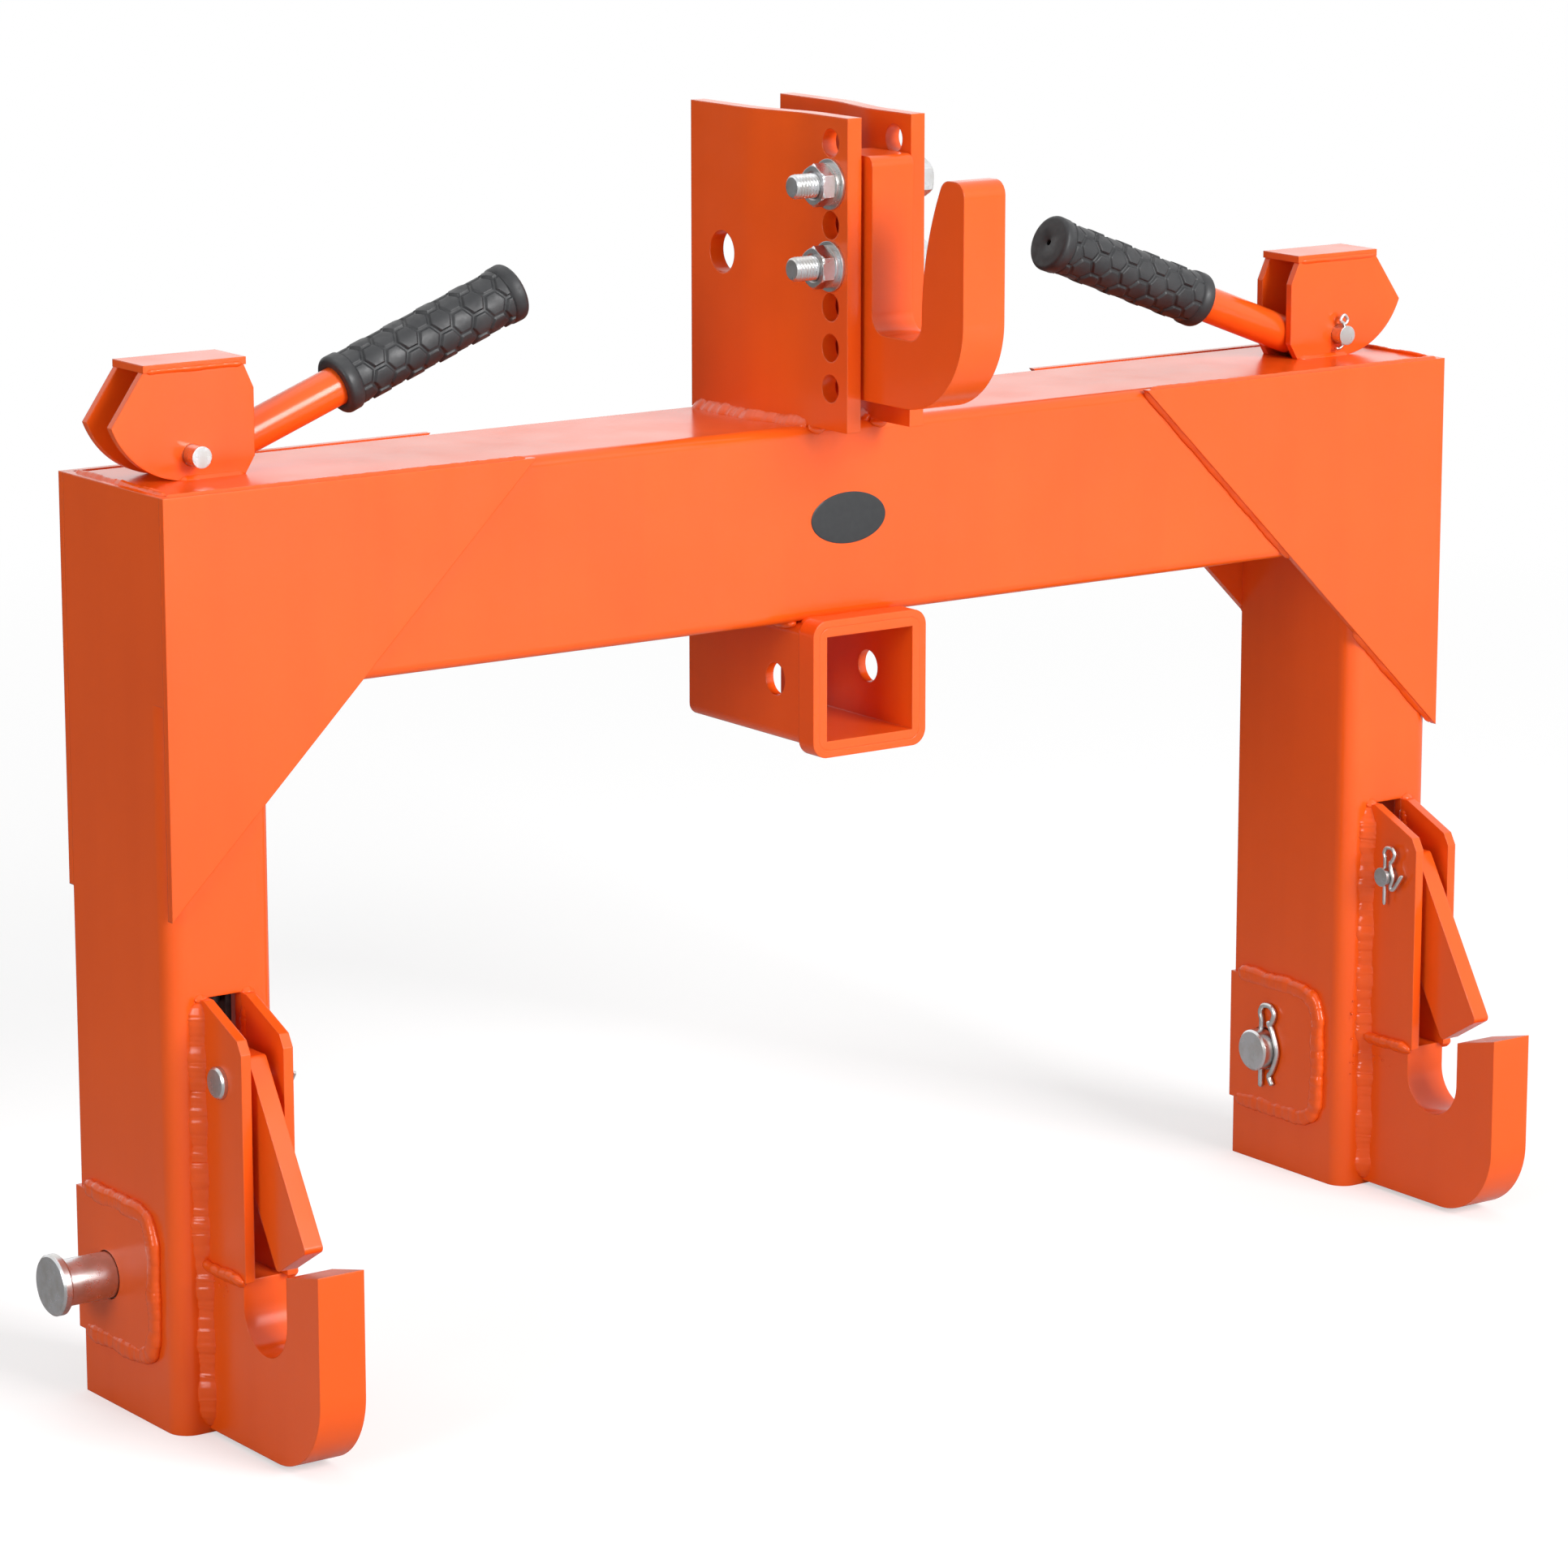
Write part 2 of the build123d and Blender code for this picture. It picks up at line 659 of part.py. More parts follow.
def link_clip():
    """The link pin's hairpin clip, at its inner end."""
    place = (clip_x(), link_pin_y, link_pin_z)
    return hairpin(place, link_pin_dia, clip_wire, clip_rise, clip_tail, clip_loop)


def mast_plate_solid():
    """A plate stepped inwards towards the front, with the height holes and the link pin hole."""
    rear_x = mast_rear_gap / 2
    front_x = mast_front_gap / 2
    inner = [
        (rear_x, frame_depth), (rear_x, mast_step_y + mast_step), (front_x, mast_step_y),
        (front_x, -mast_overhang)]
    outer = [(x + mast_plate, y) for x, y in reversed(inner)]
    footprint = make_face(Polyline(*inner, *outer, close=True))
    plate = extrude(Pos(0, 0, frame_height) * footprint, amount=mast_height)
    bends = plate.edges().filter_by(Axis.Z).group_by(Axis.Y)[1:-1]
    plate = fillet([edge for pair in bends for edge in pair], mast_bend)
    reach = (0, mast_rear_gap + mast_plate)
    for row in range(mast_hole_count):
        plate -= bar_x(mast_hole_y, mast_hole_z(row), mast_hole_dia, reach)
    return plate - bar_x(frame_depth - top_pin_setback, frame_height + top_pin_height, top_pin_dia, reach)


def mast_hole_z(row):
    """The height of a hole in the mast's row, counted up from the lowest."""
    return frame_height + mast_hole_height + mast_hole_pitch * row


def bolt_heights():
    """The heights of the two bolts, the upper one first."""
    upper = mast_hole_count - 1 - hole_count_above_bolts
    return mast_hole_z(upper), mast_hole_z(upper - 1 - hole_count_between_bolts)


def top_hook():
    """The top hook: an upright shank, a seat with round corners and a tip that leans back to it."""
    top_z = bolt_heights()[0] + top_hook_above_bolt
    bottom_z = top_z - top_hook_height
    back_y = top_shank_y + top_hook_shank
    floor_z = bottom_z + top_throat_rise
    seat_z = floor_z + top_throat_corner
    seat_y = top_shank_y - top_throat_width
    seat_back_y = top_shank_y - top_throat_corner
    seat_front_y = seat_y + top_throat_corner
    tip_z = bottom_z + top_tip_height
    tip_back_y = top_hook_front_y + top_tip_width
    nose_z = bottom_z + top_nose_radius
    nose_y = top_hook_front_y + top_nose_radius
    bend = quarter_bend(top_nose_radius)
    nose_middle = (top_hook_front_y + bend, bottom_z + bend)
    bend = quarter_bend(top_throat_corner)
    seat_back_middle = (top_shank_y - bend, floor_z + bend)
    seat_front_middle = (seat_y + bend, floor_z + bend)
    waist = (seat_y - top_tip_waist, bottom_z + top_tip_waist_height)
    outline = [
        Polyline((nose_y, bottom_z), (back_y, bottom_z), (back_y, top_z), (top_shank_y, top_z),
                 (top_shank_y, seat_z)),
        ThreePointArc((top_shank_y, seat_z), seat_back_middle, (seat_back_y, floor_z)),
        Line((seat_back_y, floor_z), (seat_front_y, floor_z)),
        ThreePointArc((seat_front_y, floor_z), seat_front_middle, (seat_y, seat_z)),
        Spline((seat_y, seat_z), waist, (tip_back_y, tip_z)),
        Polyline((tip_back_y, tip_z), (top_hook_front_y, tip_z), (top_hook_front_y, nose_z)),
        ThreePointArc((top_hook_front_y, nose_z), nose_middle, (nose_y, bottom_z))]
    start = -top_hook_thickness / 2
    plate = extrude(Plane.YZ.offset(start) * make_face(outline), amount=top_hook_thickness)
    tip_edges = plate.edges().filter_by(Axis.X).group_by(Axis.Z)[-2]
    plate = fillet(tip_edges, top_tip_corner)
    plate = fillet(plate.edges().filter_by(Axis.X).group_by(Axis.Z)[-1], top_shank_corner)
    for z in bolt_heights():
        plate -= bar_x(mast_hole_y, z, mast_hole_dia, (start - cut_overrun, cut_overrun - start))
    return plate


def mast_outer_x():
    """The outer face of the mast's front part."""
    return mast_front_gap / 2 + mast_plate


def group(pieces):
    """Separate solids kept in one node."""
    return Compound(list(pieces))


def hex_prism(z, across_flats, x_span):
    """A hexagonal head or nut along X."""
    face = RegularPolygon(across_flats / 2, 6, major_radius=False)
    return Pos(0, mast_hole_y, z) * extrude(Plane.YZ.offset(x_span[0]) * face, amount=x_span[1] - x_span[0])


def nut_seat_x():
    """How far out the nuts stand, past both washers."""
    return mast_outer_x() + flat_washer + lock_washer


def hook_bolts():
    """Two hexagon bolts with their heads on the right and their tails out on the left."""
    tail = -nut_seat_x() - nut_length - bolt_tail
    seat = mast_outer_x() + flat_washer
    bolts = []
    for z in bolt_heights():
        shank = bar_x(mast_hole_y, z, bolt_dia, (tail, seat))
        bolts.append(shank + hex_prism(z, bolt_head_across, (seat, seat + bolt_head_length)))
    return group(bolts)


def hook_nuts():
    """The nuts on the left."""
    x_span = (-nut_seat_x() - nut_length, -nut_seat_x())
    bore_span = (x_span[0] - cut_overrun, x_span[1] + cut_overrun)
    nuts = []
    for z in bolt_heights():
        bore = bar_x(mast_hole_y, z, bolt_dia, bore_span)
        nuts.append(hex_prism(z, bolt_head_across, x_span) - bore)
    return group(nuts)


def washers(diameter, x_spans):
    """A ring round each bolt at each place along X."""
    rings = []
    for x_span in x_spans:
        for z in bolt_heights():
            hole = bar_x(mast_hole_y, z, washer_bore, (x_span[0] - cut_overrun, x_span[1] + cut_overrun))
            rings.append(bar_x(mast_hole_y, z, diameter, x_span) - hole)
    return group(rings)


def receiver_tube():
    """The receiver's socket, with its pin hole across."""
    hole = receiver_side - receiver_wall * 2
    face = RectangleRounded(receiver_side, receiver_side, receiver_corner) - Rectangle(hole, hole)
    tube = deep(Pos(0, receiver_z) * face, (receiver_front_y, frame_depth + receiver_tail))
    return tube - bar_x(receiver_pin_y, receiver_z, receiver_pin_dia, (-receiver_side, receiver_side))


def receiver_collar():
    """The band round the socket's mouth."""
    hole = RectangleRounded(receiver_side, receiver_side, receiver_corner)
    ring = RectangleRounded(collar_side, collar_side, collar_corner) - hole
    return deep(Pos(0, receiver_z) * ring, (receiver_front_y, receiver_front_y + collar_length))


def sided_nodes(side):
    """Every piece that the two ends of the hitch both have; side is right or left."""
    plain_front = side == "left"
    flange_in = (leg_inner_x - pad_thickness, leg_inner_x)
    flange_out = (leg_outer_x, leg_outer_x + pad_thickness)
    front_plate = (gap_front_y - cover_plate, gap_front_y)
    back_plate = (gap_back_y, gap_back_y + cover_plate)
    return {
        "leg": leg(),
        "gusset_front": gusset((-gusset_thickness, 0)),
        "gusset_back": gusset((frame_depth, frame_depth + gusset_thickness)),
        "leg_pad_inner": pad(flange_in),
        "leg_pad_outer": pad(flange_out),
        "lower_hook": lower_hook(),
        "latch_guard_inner": latch_guard((hitch_x - guard_outer, hitch_x - guard_inner)),
        "latch_guard_outer": latch_guard((hitch_x + guard_inner, hitch_x + guard_outer)),
        "latch": latch(),
        "latch_pin": latch_pin(),
        "latch_cotter": latch_cotter(),
        "latch_strap": latch_strap(),
        "strap_rivet": strap_rivet(),
        "latch_rod": latch_rod(),
        "lever_tube": lever_tube(),
        "lever_lug": lever_lug(),
        "lever_grip": lever_grip(),
        "lever_pin": lever_pin(plain_front),
        "lever_cotter": lever_cotter(plain_front),
        "lever_cover_front": lever_plate(front_plate),
        "lever_cover_back": lever_plate(back_plate),
        "lever_cover_cap": lever_cap(),
        "link_pin": link_pin(),
        "link_pin_clip": link_clip(),
    }


def middle_nodes():
    """The pieces on the hitch's centre line."""
    seat = mast_outer_x()
    right_plate = mast_plate_solid()
    flat_places = ((-seat - flat_washer, -seat), (seat, seat + flat_washer))
    lock_places = ((-nut_seat_x(), -seat - flat_washer),)
    return {
        "crossbeam": crossbeam(),
        "mast_plate_right": right_plate,
        "mast_plate_left": mirror(right_plate, Plane.YZ),
        "top_hook": top_hook(),
        "hook_bolts": hook_bolts(),
        "hook_nuts": hook_nuts(),
        "hook_flat_washers": washers(flat_washer_dia, flat_places),
        "hook_lock_washers": washers(lock_washer_dia, lock_places),
        "receiver_tube": receiver_tube(),
        "receiver_collar": receiver_collar(),
    }


nodes = middle_nodes()
for name, shape in sided_nodes("right").items():
    nodes[name + "_right"] = shape
for name, shape in sided_nodes("left").items():
    nodes[name + "_left"] = mirror(shape, Plane.YZ)

os.makedirs("parts", exist_ok=True)
for name, shape in nodes.items():
    export_step(Pos(0, -frame_middle_y, 0) * shape, os.path.join("parts", name + ".step"))
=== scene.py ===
"""Three point quick hitch: paint, zinc and rubber, weld beads, threads, wire clips and grips.

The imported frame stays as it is. Every new surface is a grid of points worked out with numpy: rings
of points carried along a path or an axis. Lengths are in metres, with mm as the unit of small sizes.
"""
import json
import math
import bpy
import numpy as np
from mathutils import Matrix, Vector


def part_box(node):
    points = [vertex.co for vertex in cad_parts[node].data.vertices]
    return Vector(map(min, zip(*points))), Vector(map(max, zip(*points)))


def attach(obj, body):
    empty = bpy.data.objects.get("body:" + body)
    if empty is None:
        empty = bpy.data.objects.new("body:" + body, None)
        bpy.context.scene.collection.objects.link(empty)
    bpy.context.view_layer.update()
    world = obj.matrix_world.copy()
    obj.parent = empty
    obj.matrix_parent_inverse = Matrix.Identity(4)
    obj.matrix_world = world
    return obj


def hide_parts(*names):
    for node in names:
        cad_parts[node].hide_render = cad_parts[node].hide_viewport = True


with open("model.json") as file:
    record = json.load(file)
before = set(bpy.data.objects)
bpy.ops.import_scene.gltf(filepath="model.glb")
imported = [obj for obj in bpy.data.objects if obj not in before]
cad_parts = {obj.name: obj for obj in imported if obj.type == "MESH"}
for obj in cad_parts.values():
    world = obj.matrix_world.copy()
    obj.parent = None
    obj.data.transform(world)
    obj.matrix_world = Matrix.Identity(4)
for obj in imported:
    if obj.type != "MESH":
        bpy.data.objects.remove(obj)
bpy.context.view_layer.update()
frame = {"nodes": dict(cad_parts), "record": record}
mm = 0.001
SIDES = {"right": 1, "left": -1}


def corners(node):
    """The lowest and highest corner of a frame piece, as arrays."""
    low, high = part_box(node)
    return np.array(low), np.array(high)


def middle(node):
    """The middle of a frame piece's box."""
    low, high = corners(node)
    return (low + high) / 2


# Node trees

def new_material(name):
    """An empty material and its Principled shader."""
    material = bpy.data.materials.new(name)
    material.use_nodes = True
    return material, material.node_tree, material.node_tree.nodes["Principled BSDF"]


def add(tree, kind, **settings):
    """A shader node with its settings and unlinked inputs."""
    node = tree.nodes.new(kind)
    for key, value in settings.items():
        if key in node.inputs:
            node.inputs[key].default_value = value
        else:
            setattr(node, key, value)
    return node


def pattern(tree, scale, detail, squash=(1, 1, 1)):
    """Noise on the piece's own coordinates; scale counts blotches per metre."""
    place = add(tree, "ShaderNodeTexCoord")
    turn = add(tree, "ShaderNodeMapping", Scale=squash)
    noise = add(tree, "ShaderNodeTexNoise", Scale=scale, Detail=detail)
    tree.links.new(place.outputs["Object"], turn.inputs["Vector"])
    tree.links.new(turn.outputs["Vector"], noise.inputs["Vector"])
    return noise.outputs["Fac"]


def ramp(tree, value, low, high, start, end):
    """Maps a value between two limits to a range."""
    scale = add(tree, "ShaderNodeMapRange", clamp=True)
    tree.links.new(value, scale.inputs["Value"])
    for socket, number in zip(("From Min", "From Max", "To Min", "To Max"), (low, high, start, end)):
        scale.inputs[socket].default_value = number
    return scale.outputs["Result"]


def blend_colours(tree, factor, first, second):
    """A mix of two colours, either of them fixed or linked."""
    mix = add(tree, "ShaderNodeMix", data_type="RGBA")
    tree.links.new(factor, mix.inputs[0])
    for socket, colour in zip((mix.inputs[6], mix.inputs[7]), (first, second)):
        if isinstance(colour, tuple):
            socket.default_value = (*colour, 1)
        else:
            tree.links.new(colour, socket)
    return mix.outputs[2]


BEVEL_SAMPLES = 6
EDGE_ALIKE = (0.995, 0.86)


def soft_edge(tree, radius):
    """The surface's direction with its sharp edges rounded, and how near an edge is: from 0 to 1 as
    the cosine between the rounded and the flat direction falls."""
    bevel = add(tree, "ShaderNodeBevel", samples=BEVEL_SAMPLES, Radius=radius)
    flat = add(tree, "ShaderNodeNewGeometry")
    alike = add(tree, "ShaderNodeVectorMath", operation="DOT_PRODUCT")
    tree.links.new(bevel.outputs["Normal"], alike.inputs[0])
    tree.links.new(flat.outputs["Normal"], alike.inputs[1])
    return bevel.outputs["Normal"], ramp(tree, alike.outputs["Value"], *EDGE_ALIKE, 0, 1)


def relief(tree, height, distance, strength, under=None):
    """A bump from a height pattern, over another one if it is given."""
    bump = add(tree, "ShaderNodeBump", Distance=distance, Strength=strength)
    tree.links.new(height, bump.inputs["Height"])
    if under is not None:
        tree.links.new(under, bump.inputs["Normal"])
    return bump.outputs["Normal"]


# Finishes

# A noise is its blotches per metre, its detail and its squash, and a span is the part of it that counts.
NOISE_SPAN = (0.3, 0.7)

PAINT_CLOUDS = (9, 3)
PAINT_TONES = ((0.88, 0.108, 0.008), (0.82, 0.096, 0.007))
PAINT_GLOSS = (35, 2)
PAINT_ROUGH = (0.17, 0.25)
PAINT_IOR = 1.45
PEEL = (420, 2)
PEEL_DEPTH = 0.05 * mm
PLATE_PEEL = 0.28
WELD_PEEL = 0.4
STREAKS = (60, 4, (1, 1, 0.06))
STREAK_SPAN = (0.45, 0.75)
STREAK_SHARE = 0.12
STREAK_TONE = (0.66, 0.065, 0.005)
PAINT_EDGE = 0.9 * mm
# Paler tone on the paint's edges: partly thinner paint, partly a painted highlight
THIN_EDGE_AND_HIGHLIGHT_SHARE = 0.22
THIN_EDGE_AND_HIGHLIGHT_TONE = (0.95, 0.2, 0.045)

ZINC_CLOUDS = (130, 3)
ZINC_SPAN = (0.4, 0.62)
ZINC_TONES = ((0.66, 0.67, 0.69), (0.56, 0.555, 0.54))
ZINC_GLOSS = (260, 3)
ZINC_ROUGH = (0.26, 0.33)
ZINC_EDGE = 0.4 * mm
BRUSH = (900, 2, (0.08, 1, 1))
BRUSH_DEPTH = 0.04 * mm
BRUSH_STRENGTH = 0.05

RUBBER_CLOUDS = (70, 4)
RUBBER_SPAN = (0.4, 0.75)
RUBBER_TONES = ((0.014, 0.015, 0.017), (0.03, 0.031, 0.033))
RUBBER_GLOSS = (240, 2)
RUBBER_ROUGH = (0.42, 0.6)
GRAIN = (1800, 2)
GRAIN_DEPTH = 0.06 * mm
GRAIN_STRENGTH = 0.5

STEEL_CLOUDS = (90, 4)
STEEL_SPAN = (0.4, 0.65)
STEEL_TONES = ((0.03, 0.03, 0.033), (0.06, 0.052, 0.048))
STEEL_GLOSS = (200, 3)
STEEL_ROUGH = (0.35, 0.55)
STEEL_METAL = 0.5

FILM_CLOUDS = (300, 2)
FILM_TONES = ((0.014, 0.016, 0.018), (0.019, 0.021, 0.023))
FILM_ROUGH = 0.42


def clouded(tree, noise, span, tones):
    """A colour that goes from the first tone to the second as a noise crosses a span."""
    return blend_colours(tree, ramp(tree, pattern(tree, *noise), *span, 0, 1), *tones)


def wandering(tree, noise, limits):
    """A number that wanders between two limits with a noise."""
    return ramp(tree, pattern(tree, *noise), *NOISE_SPAN, *limits)


def orange_coat(name, peel, edge):
    """Glossy orange powder coat: faint clouds of tone, an orange-peel skin and, where an edge radius
    is given, rounded paler edges, partly thinner paint and partly a painted highlight."""
    material, tree, shader = new_material(name)
    colour = clouded(tree, PAINT_CLOUDS, NOISE_SPAN, PAINT_TONES)
    streaks = ramp(tree, pattern(tree, *STREAKS), *STREAK_SPAN, 0, STREAK_SHARE)
    colour = blend_colours(tree, streaks, colour, STREAK_TONE)
    rounded = None
    if edge:
        rounded, near = soft_edge(tree, edge)
        # Paler edges: partly thinner paint, partly a painted highlight
        colour = blend_colours(tree, ramp(tree, near, 0, 1, 0, THIN_EDGE_AND_HIGHLIGHT_SHARE), colour, THIN_EDGE_AND_HIGHLIGHT_TONE)
    tree.links.new(colour, shader.inputs["Base Color"])
    tree.links.new(wandering(tree, PAINT_GLOSS, PAINT_ROUGH), shader.inputs["Roughness"])
    skin = relief(tree, pattern(tree, *PEEL), PEEL_DEPTH, peel, rounded)
    tree.links.new(skin, shader.inputs["Normal"])
    shader.inputs["IOR"].default_value = PAINT_IOR
    return material


def zinc_plate():
    """Bright zinc: a brushed grey metal with faint blue and straw clouds."""
    material, tree, shader = new_material("zinc plate")
    tree.links.new(clouded(tree, ZINC_CLOUDS, ZINC_SPAN, ZINC_TONES), shader.inputs["Base Color"])
    shader.inputs["Metallic"].default_value = 1
    tree.links.new(wandering(tree, ZINC_GLOSS, ZINC_ROUGH), shader.inputs["Roughness"])
    rounded, _ = soft_edge(tree, ZINC_EDGE)
    brushed = relief(tree, pattern(tree, *BRUSH), BRUSH_DEPTH, BRUSH_STRENGTH, rounded)
    tree.links.new(brushed, shader.inputs["Normal"])
    return material


def black_rubber():
    """Moulded rubber: near black, matt, with a fine grain."""
    material, tree, shader = new_material("black rubber")
    tree.links.new(clouded(tree, RUBBER_CLOUDS, RUBBER_SPAN, RUBBER_TONES), shader.inputs["Base Color"])
    tree.links.new(wandering(tree, RUBBER_GLOSS, RUBBER_ROUGH), shader.inputs["Roughness"])
    grain = relief(tree, pattern(tree, *GRAIN), GRAIN_DEPTH, GRAIN_STRENGTH)
    tree.links.new(grain, shader.inputs["Normal"])
    return material


def dark_steel():
    """Oiled black steel of the latch's hidden rod: dark, with brown-grey patches."""
    material, tree, shader = new_material("dark steel")
    tree.links.new(clouded(tree, STEEL_CLOUDS, STEEL_SPAN, STEEL_TONES), shader.inputs["Base Color"])
    shader.inputs["Metallic"].default_value = STEEL_METAL
    tree.links.new(wandering(tree, STEEL_GLOSS, STEEL_ROUGH), shader.inputs["Roughness"])
    return material


def label_film():
    """The dark film of the blank oval label."""
    material, tree, shader = new_material("label film")
    tree.links.new(clouded(tree, FILM_CLOUDS, NOISE_SPAN, FILM_TONES), shader.inputs["Base Color"])
    shader.inputs["Roughness"].default_value = FILM_ROUGH
    return material


PAINT = orange_coat("orange powder coat", PLATE_PEEL, PAINT_EDGE)
WELD_PAINT = orange_coat("orange coat over weld", WELD_PEEL, None)
ZINC = zinc_plate()
RUBBER = black_rubber()
FILM = label_film()
STEEL = dark_steel()


# Meshes from grids

def rings_to_mesh(rings):
    """Rings of points (along, round, 3) as one closed skin: quads between rings and a fan on each end."""
    along, around, _ = rings.shape
    index = np.arange(along * around).reshape(along, around)
    onward = np.roll(index, -1, axis=1)
    quads = np.stack([index[:-1], onward[:-1], onward[1:], index[1:]], axis=-1).reshape(-1, 4)
    poles = np.array([rings[0].mean(axis=0), rings[-1].mean(axis=0)])
    start, end = along * around, along * around + 1
    fans = [np.stack([onward[0], index[0], np.full(around, start)], axis=-1),
            np.stack([index[-1], onward[-1], np.full(around, end)], axis=-1)]
    return np.vstack([rings.reshape(-1, 3), poles]), quads, np.vstack(fans)


def piece(name, skins, material, body, sharp):
    """One object from closed skins, whose edges stay sharp above an angle in degrees.

    A skin's signed volume is the sum of a . (b x c) over its triangles. Where it is below zero, the
    faces are turned round, so that they point outwards.
    """
    points, quads, fans, offset = [], [], [], 0
    for skin_points, skin_quads, skin_fans in skins:
        a, b, c = (skin_points[skin_quads[:, k]] for k in range(3))
        d = skin_points[skin_quads[:, 3]]
        volume = np.einsum("ij,ij->", a, np.cross(b, c)) + np.einsum("ij,ij->", a, np.cross(c, d))
        a, b, c = (skin_points[skin_fans[:, k]] for k in range(3))
        volume += np.einsum("ij,ij->", a, np.cross(b, c))
        turn = slice(None, None, -1) if volume < 0 else slice(None)
        points.append(skin_points)
        quads.append(skin_quads[:, turn] + offset)
        fans.append(skin_fans[:, turn] + offset)
        offset += len(skin_points)
    faces = np.vstack(quads).tolist() + np.vstack(fans).tolist()
    mesh = bpy.data.meshes.new(name)
    mesh.from_pydata(np.vstack(points).tolist(), [], faces)
    mesh.shade_smooth()
    mesh.set_sharp_from_angle(angle=math.radians(sharp))
    made = bpy.data.objects.new(name, mesh)
    bpy.context.scene.collection.objects.link(made)
    mesh.materials.append(material)
    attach(made, body)
    return made


def unit(vectors):
    """Vectors at length one."""
    return vectors / np.linalg.norm(vectors, axis=-1, keepdims=True)


def carried(path, radius, around, outward):
    """Rings round a path: centre + radius * (cos t * u + sin t * v).

    u is the outward hint made square to the path's direction, and v completes the frame. The
    radius is an array (along, round).
    """
    ahead = unit(np.gradient(path, axis=0))
    hint = np.broadcast_to(np.array(outward, float), ahead.shape)
    u = unit(hint - np.sum(hint * ahead, axis=1, keepdims=True) * ahead)
    v = np.cross(ahead, u)
    t = np.linspace(0, 2 * math.pi, around, endpoint=False)
    ring = np.cos(t)[None, :, None] * u[:, None] + np.sin(t)[None, :, None] * v[:, None]
    return path[:, None] + radius[:, :, None] * ring


FEWEST_POINTS = 6


def even_path(points, step, soften):
    """Points spaced evenly along straight runs, with the corners softened by a moving mean."""
    points = np.array(points, float)
    lengths = np.concatenate([[0], np.cumsum(np.linalg.norm(np.diff(points, axis=0), axis=1))])
    count = max(int(lengths[-1] / step), FEWEST_POINTS)
    s = np.linspace(0, lengths[-1], count)
    path = np.stack([np.interp(s, lengths, points[:, k]) for k in range(3)], axis=1)
    width = int(soften / step)
    if width > 1:
        padded = np.concatenate([np.repeat(path[:1], width, 0), path, np.repeat(path[-1:], width, 0)])
        kernel = np.ones(2 * width + 1) / (2 * width + 1)
        path = np.stack([np.convolve(padded[:, k], kernel, "valid") for k in range(3)], axis=1)
    return path


WALK_WAVES = (1, 2.3, 3.9)
WALK_HEIGHT = 1.7


def wander(s, length, random):
    """A smooth random walk from -1 to 1: the sum of sin(2 pi k s / length + phase) / k over three k,
    with random phases, over a little more than the sum of 1 / k."""
    phases = random.uniform(0, 2 * math.pi, 3)
    waves = [np.sin(2 * math.pi * s * k / length + p) / k for k, p in zip(WALK_WAVES, phases)]
    return sum(waves) / WALK_HEIGHT


def curve_through(points, per_span):
    """A smooth line through points: a cubic for each span, whose slope at a point is half the step
    from the point before it to the point after it (Catmull-Rom)."""
    p = np.array(points, float)
    p = np.vstack([2 * p[0] - p[1], p, 2 * p[-1] - p[-2]])
    t = np.linspace(0, 1, per_span, endpoint=False)[:, None]
    spans = []
    for a, b, c, d in zip(p[:-3], p[1:-2], p[2:-1], p[3:]):
        spans.append(0.5 * (2 * b + (c - a) * t + (2 * a - 5 * b + 4 * c - d) * t ** 2
                            + (3 * b - a - 3 * c + d) * t ** 3))
    return np.vstack([*spans, p[-2:-1]])


# Weld beads

BEAD_STEP = 0.8 * mm
BEAD_RIPPLE = 2.6 * mm
BEAD_DRIFT = 26 * mm
BEAD_ROUND = 20
BEAD_SQUASH = 0.38
BEAD_SHARP = 60
RIPPLE_HEIGHT = 0.024
RIPPLE_LAG = 1.5
DRIFT_SHARE = 0.08
SLOW_LUMPS = 0.1
QUICK_LUMPS = 0.05
FADE_LENGTH = 1.2
FADE_START = 0.05


def bead(points, size, seed, outward, soften=0.0):
    """A weld bead: a tube whose radius is size * (1 + ripple + lumps) * (1 - squash * cos^2 t), where
    t is the angle from the outward side, times a fade at both ends.

    The ripple is a sine of the distance along the seam, held back towards the bead's middle line,
    so that it reads as overlapping drops. The fade is the root of the distance from the nearer end.
    The lumps and the drift of the middle line are slow random walks.
    """
    random = np.random.default_rng(seed)
    path = even_path(points, BEAD_STEP, soften)
    s = np.arange(len(path)) * BEAD_STEP
    drift = np.stack([wander(s, BEAD_DRIFT, random) for _ in range(3)], axis=1)
    path = path + drift * size * DRIFT_SHARE
    t = np.linspace(0, 2 * math.pi, BEAD_ROUND, endpoint=False)
    turns = 2 * math.pi * s[:, None] / BEAD_RIPPLE
    wave = np.sin(turns + RIPPLE_LAG * np.cos(t)[None] + wander(s, BEAD_DRIFT, random)[:, None])
    lumps = SLOW_LUMPS * wander(s, BEAD_DRIFT, random)
    lumps += QUICK_LUMPS * wander(s, BEAD_DRIFT / 4, random)
    fade = np.sqrt(np.clip(np.minimum(s, s[-1] - s) / (size * FADE_LENGTH) + FADE_START, 0, 1))
    squash = 1 - BEAD_SQUASH * np.cos(t) ** 2
    radius = size * (1 + RIPPLE_HEIGHT * wave + lumps[:, None]) * fade[:, None] * squash[None]
    return rings_to_mesh(carried(path, radius, BEAD_ROUND, outward))


def weld(name, seams, size, seed, outward, soften=0.0):
    """One painted weld made of several seams."""
    skins = [bead(seam, size, seed + k, outward, soften) for k, seam in enumerate(seams)]
    piece(name, skins, WELD_PAINT, "frame", BEAD_SHARP)


def mirrored(seams, side):
    """Seams of the right-hand side, moved to a side."""
    return [np.array(seam, float) * (side, 1, 1) for seam in seams]


